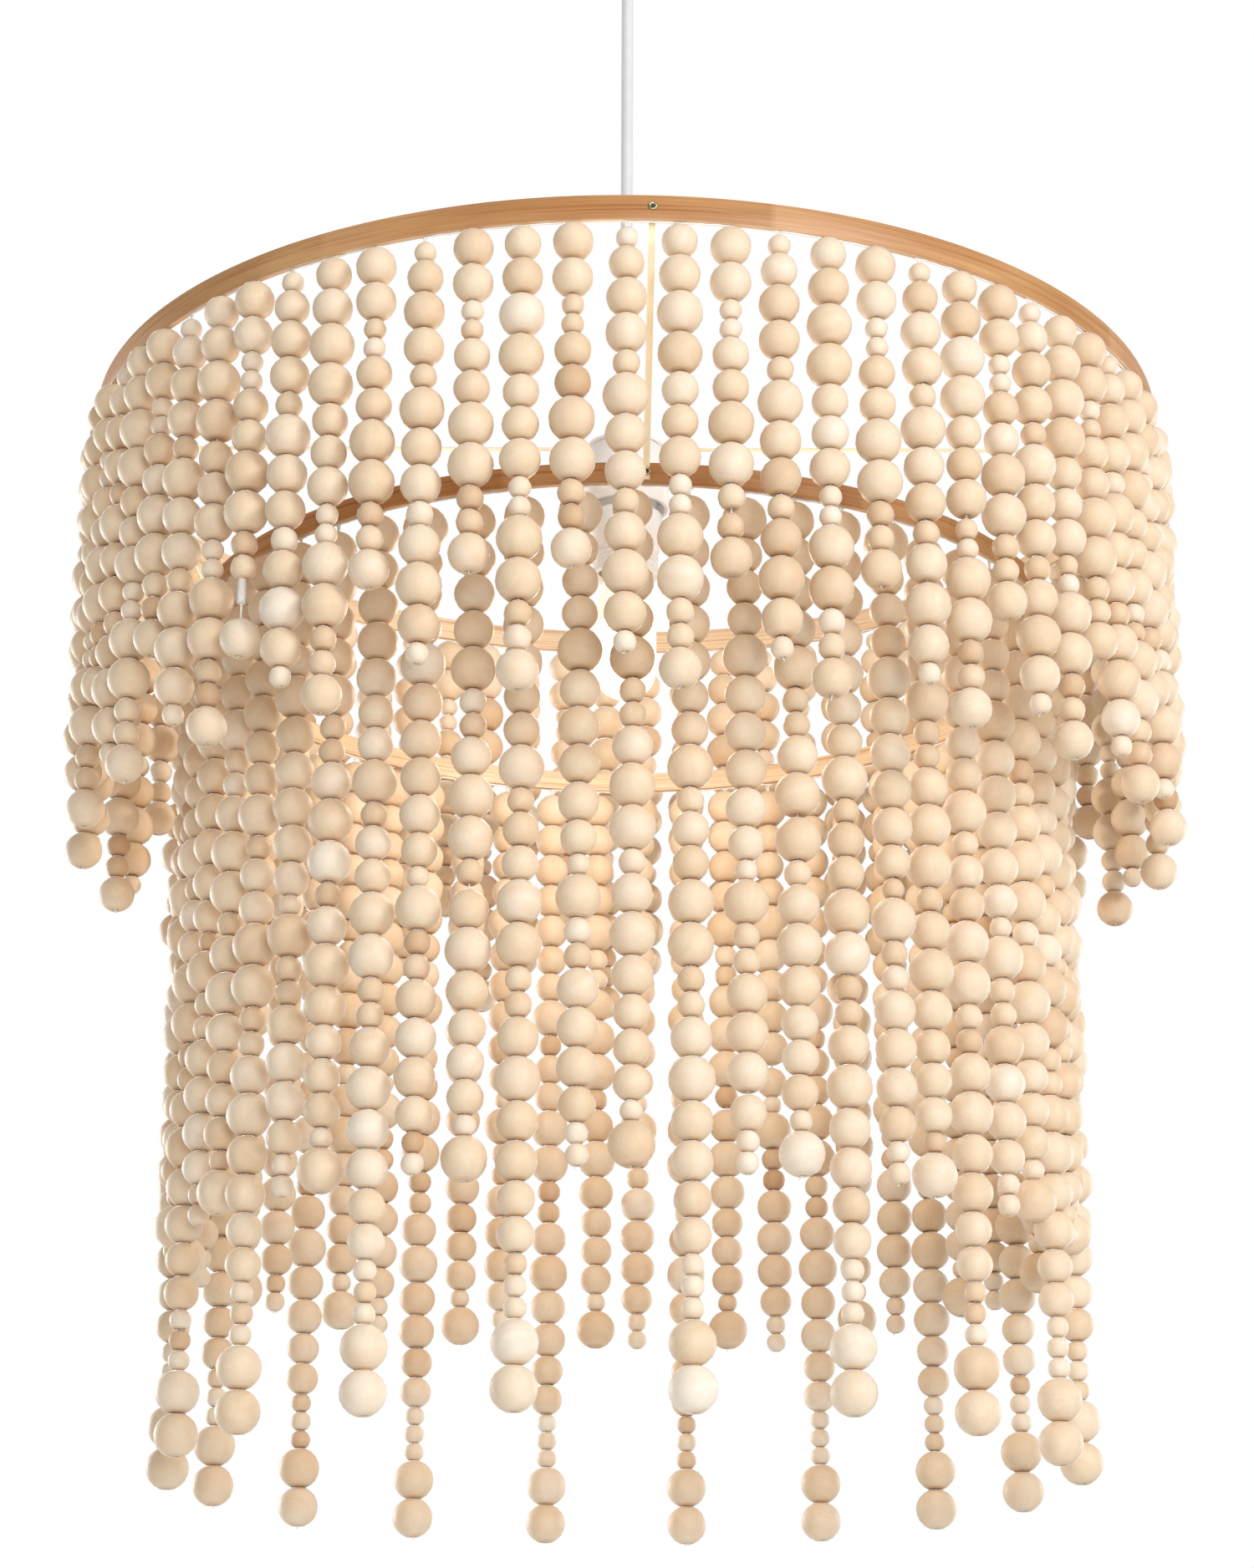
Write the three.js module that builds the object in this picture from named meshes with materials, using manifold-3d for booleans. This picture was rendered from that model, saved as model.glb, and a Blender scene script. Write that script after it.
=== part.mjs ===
// A two-tier beaded chandelier on a white flex. Lengths are in millimetres, +Z is up.
// The origin is the centre of the ceiling fitting's flat top face. -Y is the side that is looked at.
import * as THREE from "three";
import { mergeVertices } from "three/addons/utils/BufferGeometryUtils.js";
import Module from "manifold-3d";

const wasm = await Module();
wasm.setup();

// Clearances shared by the pieces
const TOUCH_GAP = 0.3;
const LACE_GAP = 0.5;

// Ceiling fitting: a closed cup with a ball seat for the cord grip
const CUP_RADIUS = 45;
const CUP_HEIGHT = 32;
const CUP_EDGE_CHAMFER = 6;
const CUP_FLOOR = 3;
const CUP_FACETS = 24;
const SEAT_HOLE_RADIUS = 6.5;
const SEAT_HEADROOM = 2;

// Cord grip: a ball that swivels in the cup's floor
const BALL_RADIUS = 8.5;
const BALL_TOP_FLAT_RADIUS = 4;
const BALL_STEPS = 7;
const BALL_FACETS = 14;

// Flex
const FLEX_DIAMETER = 6.4;
const FLEX_LENGTH = 290;
const FLEX_STEPS = 16;
const FLEX_FACETS = 8;
const FLEX_ENTRY = 4;

// Lampholder cap: a domed shell with a collar that takes the flex
const DOME_RADIUS = 22.4;
const DOME_STEPS = 4;
const CAP_SKIRT = 22;
const CAP_WALL = 2;
const COLLAR_RADIUS = 5.6;
const COLLAR_HEIGHT = 5;
const HOLDER_FACETS = 14;

// Lampholder barrel, with the thread that a shade ring would use
const BARREL_TOP_RADIUS = 19;
const BARREL_MOUTH_RADIUS = 17;
const BARREL_WALL = 2.4;
const BARREL_EXPOSED = 37;
const BARREL_INSIDE_CAP = 10;
const BARREL_HEAD_HEIGHT = 7;
const BARREL_LIP_HEIGHT = 3;
const BARREL_THREAD_DEPTH = 0.9;
const BARREL_THREAD_PITCH = 6;
const BARREL_THREAD_TURNS = 5;

// Metal screw shell and contact carrier inside the barrel
const SHELL_WALL = 0.8;
const SHELL_HEIGHT = 30;
const SHELL_RECESS = 2.5;
const CARRIER_HEIGHT = 5;
const TONGUE_RADIUS = 4;
const TONGUE_HEIGHT = 1.5;

// Bulb: a screw cap and a slim pear-shaped glass
const BULB_CAP_RADIUS = 13;
const BULB_CAP_HEIGHT = 23;
const BULB_CAP_WALL = 1.1;
const BULB_CAP_CROWN = 6;
const BULB_THREAD_DEPTH = 0.9;
const BULB_THREAD_TURNS = 4;
const BULB_TIP_RADIUS = 4.5;
const BULB_TIP_HEIGHT = 2.5;
const BULB_NECK_RADIUS = 10.5;
const BULB_NECK_HEIGHT = 6;
const BULB_RADIUS = 16;
const BULB_SHOULDER_HEIGHT = 24;
const BULB_STRAIGHT_HEIGHT = 27;
const BULB_WALL = 0.9;
const BULB_STEPS = 4;
const BULB_FACETS = 12;

// Bamboo hoops: flat strips bent round, with lapped ends
const OUTER_HOOP_RADIUS = 275;
const OUTER_HOOP_HEIGHT = 12.5;
const OUTER_HOOP_FACETS = 60;
const OUTER_LAP_START_DEG = 148;
const TIER_STEP = 55;
const INNER_HOOP_RADIUS = OUTER_HOOP_RADIUS - TIER_STEP;
const INNER_HOOP_HEIGHT = 10.5;
const INNER_HOOP_FACETS = 48;
const INNER_LAP_START_DEG = 200;
const STRIP_THICKNESS = 3.2;
const LAP_SPAN_DEG = 18;
const TIER_DROP = 108;

// Spider: a wire ring that rests on the dome, with four wire arms out to the upper hoop
const SPIDER_WIRE = 1.8;
const SPIDER_RING_RADIUS = 19.9;
const SPIDER_RING_FACETS = 16;
const SPIDER_WIRE_FACETS = 5;
const SPIDER_ARMS = 4;
const SPIDER_BELOW_EDGE = 3.3;

// Hanger strips that carry the lower hoop from the upper one
const HANGER_WIDTH = 3;
const HANGER_THICKNESS = 1.2;
const HANGER_TAB = 9;
const HANGER_TOP_INSET = 2;
const HANGERS = 3;

// Bead diameters down each kind of strand, top first
const BEAD_10 = 10;
const BEAD_12 = 12;
const BEAD_16 = 16;
const BEAD_18 = 18;
const BEAD_20 = 20;
const SMALL_BEAD_LIMIT = 14;
const SHORT_STRAND = [
  BEAD_18, BEAD_18, BEAD_10, BEAD_10, BEAD_16, BEAD_16, BEAD_20, BEAD_20, BEAD_12, BEAD_12, BEAD_18,
];
const MIDDLE_STRAND = [
  BEAD_10, BEAD_16, BEAD_18, BEAD_18, BEAD_12, BEAD_20, BEAD_18, BEAD_18, BEAD_12, BEAD_18, BEAD_20,
  BEAD_18, BEAD_10,
];
const LONG_STRAND = [
  BEAD_16, BEAD_18, BEAD_20, BEAD_20, BEAD_16, BEAD_16, BEAD_18, BEAD_10, BEAD_10, BEAD_20, BEAD_20,
  BEAD_12, BEAD_12, BEAD_18,
];
const TWIN_END_STRAND = [
  BEAD_20, BEAD_16, BEAD_16, BEAD_16, BEAD_20, BEAD_18, BEAD_18, BEAD_18, BEAD_18, BEAD_16, BEAD_10,
  BEAD_20, BEAD_12, BEAD_12, BEAD_18, BEAD_18, BEAD_18, BEAD_16, BEAD_10, BEAD_10,
];
const DROP_END_STRAND = [
  BEAD_18, BEAD_18, BEAD_18, BEAD_18, BEAD_20, BEAD_12, BEAD_12, BEAD_18, BEAD_20, BEAD_20, BEAD_12,
  BEAD_18, BEAD_20, BEAD_18, BEAD_16, BEAD_16, BEAD_16, BEAD_10, BEAD_20,
];
const TAIL_STRAND = [
  BEAD_18, BEAD_18, BEAD_18, BEAD_18, BEAD_18, BEAD_16, BEAD_16, BEAD_20, BEAD_12, BEAD_16, BEAD_16,
  BEAD_20, BEAD_20, BEAD_12, BEAD_12, BEAD_18, BEAD_20, BEAD_18, BEAD_18, BEAD_16, BEAD_16, BEAD_10,
  BEAD_10, BEAD_10, BEAD_20, BEAD_20,
];

// How the strands hang: each set of strands shares one lacing thread under its hoop
const BEAD_BORE_RADIUS = 1.5;
const BEAD_PLAY = 0.15;
const THREAD_DROP = 3.5;
const NECK_RADIUS = 3;
const LACE_WIDTH = 1.5;
const STRAND_INSET = 1.5;
const BEADS_PER_KNOB = 2;
const STRAND_SIDES = 3;

// Upper tier: middle, long, short all round. What is left over goes second in the last set.
const OUTER_SPACING = 23.5;
const OUTER_FIRST_DEG = 0;
const OUTER_SET = [MIDDLE_STRAND, LONG_STRAND, SHORT_STRAND];
const OUTER_EXTRA = SHORT_STRAND;
const OUTER_EXTRA_PLACE = 1;

// Lower tier: twin end, drop end, tail all round. What is left over ends the last set.
const INNER_SPACING = 25;
const INNER_FIRST_DEG = 99.2;
const INNER_SET = [TWIN_END_STRAND, DROP_END_STRAND, TAIL_STRAND];
const INNER_EXTRA = DROP_END_STRAND;
const INNER_EXTRA_PLACE = 3;

const beadWood = new THREE.MeshStandardMaterial({ color: 0xe8d2b0, roughness: 0.7 });
const bamboo = new THREE.MeshStandardMaterial({ color: 0xc08a52, roughness: 0.55 });
const whitePlastic = new THREE.MeshStandardMaterial({ color: 0xf1efeb, roughness: 0.45 });
const whiteFlex = new THREE.MeshStandardMaterial({ color: 0xe9e9ea, roughness: 0.5 });
const creamWire = new THREE.MeshStandardMaterial({ color: 0xf2e3b5, roughness: 0.4, metalness: 0.3 });
const platedMetal = new THREE.MeshStandardMaterial({ color: 0xb9b4aa, roughness: 0.35, metalness: 0.9 });
const ceramic = new THREE.MeshStandardMaterial({ color: 0xe4e0d8, roughness: 0.6 });
const warmGlass = new THREE.MeshStandardMaterial({ color: 0xfff4dc, roughness: 0.1 });

const chandelier = new THREE.Group();

function addPiece(parent, name, geometry, material) {
  const mesh = new THREE.Mesh(geometry, material);
  mesh.name = name;
  parent.add(mesh);
  return mesh;
}

// Turns a profile of [radius, height] points round the vertical axis
function turned(profile, facets) {
  const points = profile.map(([radius, height]) => new THREE.Vector2(radius, height));
  const geometry = new THREE.LatheGeometry(points, facets);
  geometry.rotateX(Math.PI / 2);
  return geometry;
}

// Points on an arc in the profile plane, angles counted up from the horizontal
function arcProfile(centreHeight, radius, fromDeg, toDeg, steps) {
  const points = [];
  for (let step = 0; step <= steps; step += 1) {
    const angle = THREE.MathUtils.degToRad(THREE.MathUtils.lerp(fromDeg, toDeg, step / steps));
    points.push([radius * Math.cos(angle), centreHeight + radius * Math.sin(angle)]);
  }
  return points;
}

// Heights, from the ceiling down to the upper hoop
const seatHeight = -CUP_HEIGHT + CUP_FLOOR;
const ballHeight = seatHeight + Math.sqrt((BALL_RADIUS + TOUCH_GAP) ** 2 - SEAT_HOLE_RADIUS ** 2);
const flexTop = ballHeight - BALL_RADIUS - TOUCH_GAP;
const flexBottom = flexTop - FLEX_LENGTH;
const collarTop = flexBottom + FLEX_ENTRY;
const domeCentre = collarTop - COLLAR_HEIGHT - DOME_RADIUS;
const ringReach = DOME_RADIUS + SPIDER_WIRE / 2 + TOUCH_GAP;
const spiderHeight = domeCentre + Math.sqrt(ringReach ** 2 - SPIDER_RING_RADIUS ** 2);
const outerHoopTop = spiderHeight + SPIDER_BELOW_EDGE;
const innerHoopTop = outerHoopTop - TIER_DROP;
const capRim = domeCentre - CAP_SKIRT;
const barrelMouth = capRim - BARREL_EXPOSED;

function ceilingCup() {
  const chamberRadius = BALL_RADIUS + TOUCH_GAP;
  const chamberTop = ballHeight + BALL_RADIUS + SEAT_HEADROOM;
  return turned([
    [0, chamberTop],
    [chamberRadius, chamberTop],
    [chamberRadius, seatHeight],
    [SEAT_HOLE_RADIUS, seatHeight],
    [SEAT_HOLE_RADIUS, -CUP_HEIGHT],
    [CUP_RADIUS - CUP_EDGE_CHAMFER, -CUP_HEIGHT],
    [CUP_RADIUS, -CUP_HEIGHT + CUP_EDGE_CHAMFER],
    [CUP_RADIUS, 0],
    [0, 0],
  ], CUP_FACETS);
}

function cordGrip() {
  const flatAngle = THREE.MathUtils.radToDeg(Math.acos(BALL_TOP_FLAT_RADIUS / BALL_RADIUS));
  const round = arcProfile(ballHeight, BALL_RADIUS, -90, flatAngle, BALL_STEPS);
  round[0][0] = 0;
  return turned([...round, [0, round[BALL_STEPS][1]]], BALL_FACETS);
}

function flex() {
  const section = new THREE.Shape();
  section.absarc(0, 0, FLEX_DIAMETER / 2, 0, 2 * Math.PI);
  const route = new THREE.LineCurve3(
    new THREE.Vector3(0, 0, flexBottom),
    new THREE.Vector3(0, 0, flexTop),
  );
  const shape = new THREE.Shape(section.getPoints(FLEX_FACETS).slice(0, FLEX_FACETS));
  return new THREE.ExtrudeGeometry(shape, { steps: FLEX_STEPS, extrudePath: route });
}

addPiece(chandelier, "ceiling_cup", ceilingCup(), whitePlastic);
addPiece(chandelier, "cord_grip", cordGrip(), whitePlastic);
addPiece(chandelier, "flex", flex(), whiteFlex);

function lampholderCap() {
  const flexHole = FLEX_DIAMETER / 2 + TOUCH_GAP;
  const innerDome = DOME_RADIUS - CAP_WALL;
  const collarAngle = THREE.MathUtils.radToDeg(Math.acos(COLLAR_RADIUS / DOME_RADIUS));
  const holeAngle = THREE.MathUtils.radToDeg(Math.acos(flexHole / innerDome));
  const outside = arcProfile(domeCentre, DOME_RADIUS, 0, collarAngle, DOME_STEPS);
  const inside = arcProfile(domeCentre, innerDome, holeAngle, 0, DOME_STEPS);
  return turned([
    [innerDome, capRim],
    [DOME_RADIUS, capRim],
    ...outside,
    [COLLAR_RADIUS, collarTop],
    [flexHole, collarTop],
    ...inside,
    [innerDome, capRim],
  ], HOLDER_FACETS);
}

// The bore runs straight through the barrel and takes the screw shell
const bore = BARREL_MOUTH_RADIUS - BARREL_WALL;

// The barrel's wide head screws into the cap
function lampholderBarrel() {
  const top = capRim + BARREL_INSIDE_CAP;
  const headRadius = DOME_RADIUS - CAP_WALL - TOUCH_GAP;
  const threadStart = barrelMouth + BARREL_LIP_HEIGHT;
  const threads = [];
  for (let turn = 0; turn < BARREL_THREAD_TURNS; turn += 1) {
    const height = threadStart + turn * BARREL_THREAD_PITCH;
    const share = (turn + 1) / BARREL_THREAD_TURNS;
    const radius = THREE.MathUtils.lerp(BARREL_MOUTH_RADIUS, BARREL_TOP_RADIUS, share);
    threads.push([radius - BARREL_THREAD_DEPTH, height + BARREL_THREAD_PITCH / 2]);
    threads.push([radius, height + BARREL_THREAD_PITCH]);
  }
  return turned([
    [bore, barrelMouth],
    [BARREL_MOUTH_RADIUS, barrelMouth],
    [BARREL_MOUTH_RADIUS, threadStart],
    ...threads,
    [BARREL_TOP_RADIUS - BARREL_THREAD_DEPTH, top - BARREL_HEAD_HEIGHT],
    [headRadius, top - BARREL_HEAD_HEIGHT],
    [headRadius, top],
    [bore, top],
    [bore, barrelMouth],
  ], HOLDER_FACETS);
}

// The shell hangs inside the barrel and the carrier closes it above
const shellOuter = bore - TOUCH_GAP;
const shellBottom = barrelMouth + SHELL_RECESS;
const shellTop = shellBottom + SHELL_HEIGHT;

function screwShell() {
  const inner = shellOuter - SHELL_WALL;
  return turned([
    [inner, shellBottom],
    [shellOuter, shellBottom],
    [shellOuter, shellTop],
    [inner, shellTop],
    [inner, shellBottom],
  ], HOLDER_FACETS);
}

function contactCarrier() {
  const bottom = shellTop + TOUCH_GAP;
  return turned([
    [0, bottom - TONGUE_HEIGHT],
    [TONGUE_RADIUS, bottom - TONGUE_HEIGHT],
    [TONGUE_RADIUS, bottom],
    [shellOuter, bottom],
    [shellOuter, bottom + CARRIER_HEIGHT],
    [0, bottom + CARRIER_HEIGHT],
  ], HOLDER_FACETS);
}

// The bulb's tip touches the contact tongue
const bulbTip = shellTop - TONGUE_HEIGHT;
const bulbCapTop = bulbTip - BULB_TIP_HEIGHT;
const bulbCapBottom = bulbCapTop - BULB_CAP_HEIGHT;

function bulbCap() {
  const pitch = BULB_CAP_HEIGHT / (BULB_THREAD_TURNS + 1);
  const rootRadius = BULB_CAP_RADIUS - BULB_THREAD_DEPTH;
  const boreRadius = rootRadius - BULB_CAP_WALL;
  const crownFloor = bulbCapTop - BULB_CAP_CROWN;
  const threads = [];
  for (let turn = 0; turn < BULB_THREAD_TURNS; turn += 1) {
    const height = bulbCapBottom + pitch * (turn + 1);
    threads.push([rootRadius, height - pitch / 2]);
    threads.push([BULB_CAP_RADIUS, height]);
  }
  return turned([
    [0, crownFloor],
    [boreRadius, crownFloor],
    [boreRadius, bulbCapBottom],
    [BULB_CAP_RADIUS, bulbCapBottom],
    ...threads,
    [BULB_TIP_RADIUS, bulbCapTop],
    [BULB_TIP_RADIUS, bulbTip],
    [0, bulbTip],
  ], BULB_FACETS);
}

function bulbGlass() {
  const neckTop = bulbCapBottom - TOUCH_GAP;
  const shoulder = neckTop - BULB_NECK_HEIGHT - BULB_SHOULDER_HEIGHT;
  const roundCentre = shoulder - BULB_STRAIGHT_HEIGHT;
  const outside = arcProfile(roundCentre, BULB_RADIUS, -90, 0, BULB_STEPS);
  const inside = arcProfile(roundCentre, BULB_RADIUS - BULB_WALL, 0, -90, BULB_STEPS);
  outside[0][0] = 0;
  inside[BULB_STEPS][0] = 0;
  return turned([
    ...outside,
    [BULB_RADIUS, shoulder],
    [BULB_NECK_RADIUS, neckTop - BULB_NECK_HEIGHT],
    [BULB_NECK_RADIUS, neckTop],
    [BULB_NECK_RADIUS - BULB_WALL, neckTop],
    [BULB_NECK_RADIUS - BULB_WALL, neckTop - BULB_NECK_HEIGHT],
    [BULB_RADIUS - BULB_WALL, shoulder],
    ...inside,
  ], BULB_FACETS);
}

addPiece(chandelier, "lampholder_cap", lampholderCap(), whitePlastic);
addPiece(chandelier, "lampholder_barrel", lampholderBarrel(), whitePlastic);
addPiece(chandelier, "screw_shell", screwShell(), platedMetal);
addPiece(chandelier, "contact_carrier", contactCarrier(), ceramic);
addPiece(chandelier, "bulb_cap", bulbCap(), platedMetal);
addPiece(chandelier, "bulb_glass", bulbGlass(), warmGlass);

// Directions at a bearing, counted from the front (-Y) towards +X
function outward(bearingDeg) {
  const bearing = THREE.MathUtils.degToRad(bearingDeg);
  return new THREE.Vector3(Math.sin(bearing), -Math.cos(bearing), 0);
}

function along(bearingDeg) {
  const bearing = THREE.MathUtils.degToRad(bearingDeg);
  return new THREE.Vector3(Math.cos(bearing), Math.sin(bearing), 0);
}

// A bent strip seen from above, doubled where its ends are lapped
function bentStrip(radius, height, facets, lapStart) {
  const stepDeg = 360 / facets;
  const lapFacets = Math.round(LAP_SPAN_DEG / stepDeg);
  const rim = [];
  for (let facet = 0; facet < facets; facet += 1) {
    const direction = outward(lapStart + facet * stepDeg);
    const lapped = facet <= lapFacets;
    if (facet === 0) {
      rim.push(direction.clone().multiplyScalar(radius));
    }
    rim.push(direction.clone().multiplyScalar(lapped ? radius + STRIP_THICKNESS : radius));
    if (facet === lapFacets) {
      rim.push(direction.clone().multiplyScalar(radius));
    }
  }
  const shape = new THREE.Shape(rim.map((point) => new THREE.Vector2(point.x, point.y)));
  const hole = new THREE.Path();
  for (let facet = 0; facet < facets; facet += 1) {
    const point = outward(lapStart - facet * stepDeg).multiplyScalar(radius - STRIP_THICKNESS);
    if (facet === 0) {
      hole.moveTo(point.x, point.y);
    } else {
      hole.lineTo(point.x, point.y);
    }
  }
  hole.closePath();
  shape.holes.push(hole);
  return new THREE.ExtrudeGeometry(shape, { depth: height, bevelEnabled: false });
}

const outerHoop = bentStrip(
  OUTER_HOOP_RADIUS, OUTER_HOOP_HEIGHT, OUTER_HOOP_FACETS, OUTER_LAP_START_DEG,
);
const innerHoop = bentStrip(
  INNER_HOOP_RADIUS, INNER_HOOP_HEIGHT, INNER_HOOP_FACETS, INNER_LAP_START_DEG,
);
const outerHoopMesh = addPiece(chandelier, "outer_hoop", outerHoop, bamboo);
outerHoopMesh.position.z = outerHoopTop - OUTER_HOOP_HEIGHT;
const innerHoopMesh = addPiece(chandelier, "inner_hoop", innerHoop, bamboo);
innerHoopMesh.position.z = innerHoopTop - INNER_HOOP_HEIGHT;

// A closed mesh as a solid that can be joined to others
function solidOf(geometry) {
  const bare = geometry.clone();
  bare.deleteAttribute("normal");
  bare.deleteAttribute("uv");
  const merged = mergeVertices(bare);
  const solid = new wasm.Manifold(new wasm.Mesh({
    numProp: 3,
    vertProperties: new Float32Array(merged.attributes.position.array),
    triVerts: new Uint32Array(merged.index.array),
  }));
  return solid;
}

function geometryOf(solid) {
  const mesh = solid.getMesh();
  const geometry = new THREE.BufferGeometry();
  geometry.setAttribute("position", new THREE.BufferAttribute(mesh.vertProperties, 3));
  geometry.setIndex(new THREE.BufferAttribute(mesh.triVerts, 1));
  return geometry;
}

function spider() {
  const wireRadius = SPIDER_WIRE / 2;
  const ring = new THREE.TorusGeometry(
    SPIDER_RING_RADIUS, wireRadius, SPIDER_WIRE_FACETS, SPIDER_RING_FACETS,
  );
  const inscribed = Math.cos(Math.PI / OUTER_HOOP_FACETS);
  const armEnd = (OUTER_HOOP_RADIUS - STRIP_THICKNESS) * inscribed - TOUCH_GAP;
  const armLength = armEnd - SPIDER_RING_RADIUS;
  let solid = solidOf(ring);
  for (let arm = 0; arm < SPIDER_ARMS; arm += 1) {
    const wire = new THREE.CylinderGeometry(wireRadius, wireRadius, armLength, SPIDER_WIRE_FACETS);
    wire.translate(0, armLength / 2 + SPIDER_RING_RADIUS, 0);
    wire.rotateZ(2 * Math.PI * arm / SPIDER_ARMS);
    solid = solid.add(solidOf(wire));
  }
  return geometryOf(solid);
}

const spiderMesh = addPiece(chandelier, "spider", spider(), creamWire);
spiderMesh.position.z = spiderHeight;

// A bent metal strip: a tab inside the upper hoop, a slanted run, a tab outside the lower hoop
function hanger() {
  const outerInscribed = Math.cos(Math.PI / OUTER_HOOP_FACETS);
  const topFace = (OUTER_HOOP_RADIUS - STRIP_THICKNESS) * outerInscribed - TOUCH_GAP;
  const lowFace = INNER_HOOP_RADIUS + TOUCH_GAP;
  const topHigh = outerHoopTop - HANGER_TOP_INSET;
  const topLow = topHigh - HANGER_TAB;
  const lowHigh = innerHoopTop;
  const lowLow = lowHigh - HANGER_TAB;
  const outline = new THREE.Shape([
    new THREE.Vector2(topFace, topHigh),
    new THREE.Vector2(topFace - HANGER_THICKNESS, topHigh),
    new THREE.Vector2(topFace - HANGER_THICKNESS, topLow),
    new THREE.Vector2(lowFace, lowHigh),
    new THREE.Vector2(lowFace, lowLow),
    new THREE.Vector2(lowFace + HANGER_THICKNESS, lowLow),
    new THREE.Vector2(lowFace + HANGER_THICKNESS, lowHigh),
    new THREE.Vector2(topFace, topLow),
  ]);
  const geometry = new THREE.ExtrudeGeometry(outline, { depth: HANGER_WIDTH, bevelEnabled: false });
  geometry.translate(0, 0, -HANGER_WIDTH / 2);
  geometry.rotateX(Math.PI / 2);
  geometry.rotateZ(-Math.PI / 2);
  return geometry;
}

// How many strands a tier has room for
function strandCount(hoopRadius, spacing) {
  return Math.round(2 * Math.PI * (hoopRadius - STRAND_INSET) / spacing);
}

// Each hanger goes up midway between two strands
const outerStrands = strandCount(OUTER_HOOP_RADIUS, OUTER_SPACING);
for (let index = 0; index < HANGERS; index += 1) {
  const gap = Math.round(index * outerStrands / HANGERS) + 1 / 2;
  const mesh = addPiece(chandelier, `hanger_${index + 1}`, hanger(), creamWire);
  mesh.rotation.z = THREE.MathUtils.degToRad(OUTER_FIRST_DEG + gap * 360 / outerStrands);
}

// Neighbouring beads of like size become one knob, so that each tier keeps few faces.
// A bored bead is a little shorter along its thread than it is wide.
function knobsOf(beads) {
  const knobs = [];
  let start = THREAD_DROP;
  for (const diameter of beads) {
    const radius = diameter / 2;
    const end = start + 2 * Math.sqrt(radius ** 2 - BEAD_BORE_RADIUS ** 2);
    const small = diameter < SMALL_BEAD_LIMIT;
    const last = knobs[knobs.length - 1];
    if (last && last.small === small && last.beads < BEADS_PER_KNOB) {
      last.beads += 1;
      last.end = end;
      last.radius = Math.max(last.radius, radius);
    } else {
      knobs.push({ small, beads: 1, start, end, radius });
    }
    start = end + BEAD_PLAY;
  }
  return knobs;
}

// Depth and radius of every ring down a strand: the knobs, and the necks between large ones
function strandRings(beads) {
  const rings = [];
  knobsOf(beads).forEach((knob, index, knobs) => {
    const before = knobs[index - 1];
    if (before && !before.small && !knob.small) {
      rings.push({ depth: (before.end + knob.start) / 2, radius: NECK_RADIUS });
    }
    rings.push({ depth: (knob.start + knob.end) / 2, radius: knob.radius });
  });
  return rings;
}

// Collects corners and faces for one closed body
class Body {
  constructor() {
    this.corners = [];
    this.faces = [];
  }

  corner(point) {
    this.corners.push(point.x, point.y, point.z);
    return this.corners.length / 3 - 1;
  }

  face(a, b, c) {
    if (a !== b && b !== c && c !== a) {
      this.faces.push(a, b, c);
    }
  }

  band(upper, lower) {
    upper.forEach((corner, index) => {
      const next = (index + 1) % upper.length;
      this.face(corner, lower[index], lower[next]);
      this.face(corner, lower[next], upper[next]);
    });
  }

  geometry() {
    const geometry = new THREE.BufferGeometry();
    geometry.setAttribute("position", new THREE.Float32BufferAttribute(this.corners, 3));
    geometry.setIndex(this.faces);
    geometry.computeVertexNormals();
    return geometry;
  }
}

// One cross-section of the lacing thread: two low corners and one under the hoop
function laceSection(body, radius, bearingDeg, top) {
  const at = (reach, height) => outward(bearingDeg).multiplyScalar(reach).setZ(height);
  return {
    outer: body.corner(at(radius + LACE_WIDTH / 2, top - LACE_WIDTH)),
    crown: body.corner(at(radius, top)),
    inner: body.corner(at(radius - LACE_WIDTH / 2, top - LACE_WIDTH)),
  };
}

function laceSides(body, from, to) {
  body.face(from.outer, to.outer, to.crown);
  body.face(from.outer, to.crown, from.crown);
  body.face(from.crown, to.crown, to.inner);
  body.face(from.crown, to.inner, from.inner);
}

function laceUnderside(body, from, to) {
  body.face(from.inner, to.inner, to.outer);
  body.face(from.inner, to.outer, from.outer);
}

// A ring with four places like the thread above it, so its last corner is used twice
function strandRing(body, centre, bearingDeg, radius) {
  const corners = [];
  for (let side = 0; side < STRAND_SIDES; side += 1) {
    const turn = 2 * Math.PI * side / STRAND_SIDES;
    const reach = outward(bearingDeg).multiplyScalar(radius * Math.cos(turn));
    const shift = along(bearingDeg).multiplyScalar(radius * Math.sin(turn));
    corners.push(body.corner(centre.clone().add(reach).add(shift)));
  }
  while (corners.length < 4) {
    corners.push(corners[corners.length - 1]);
  }
  return corners;
}

function hangStrand(body, beads, radius, bearingDeg, hoopBottom, from, to) {
  let upper = [to.outer, to.inner, from.inner, from.outer];
  for (const ring of strandRings(beads)) {
    const centre = outward(bearingDeg).multiplyScalar(radius).setZ(hoopBottom - ring.depth);
    const lower = strandRing(body, centre, bearingDeg, ring.radius);
    body.band(upper, lower);
    upper = lower;
  }
  const knobs = knobsOf(beads);
  const tipDepth = knobs[knobs.length - 1].end;
  const tip = body.corner(outward(bearingDeg).multiplyScalar(radius).setZ(hoopBottom - tipDepth));
  body.band(upper, [tip, tip, tip, tip]);
}

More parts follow.
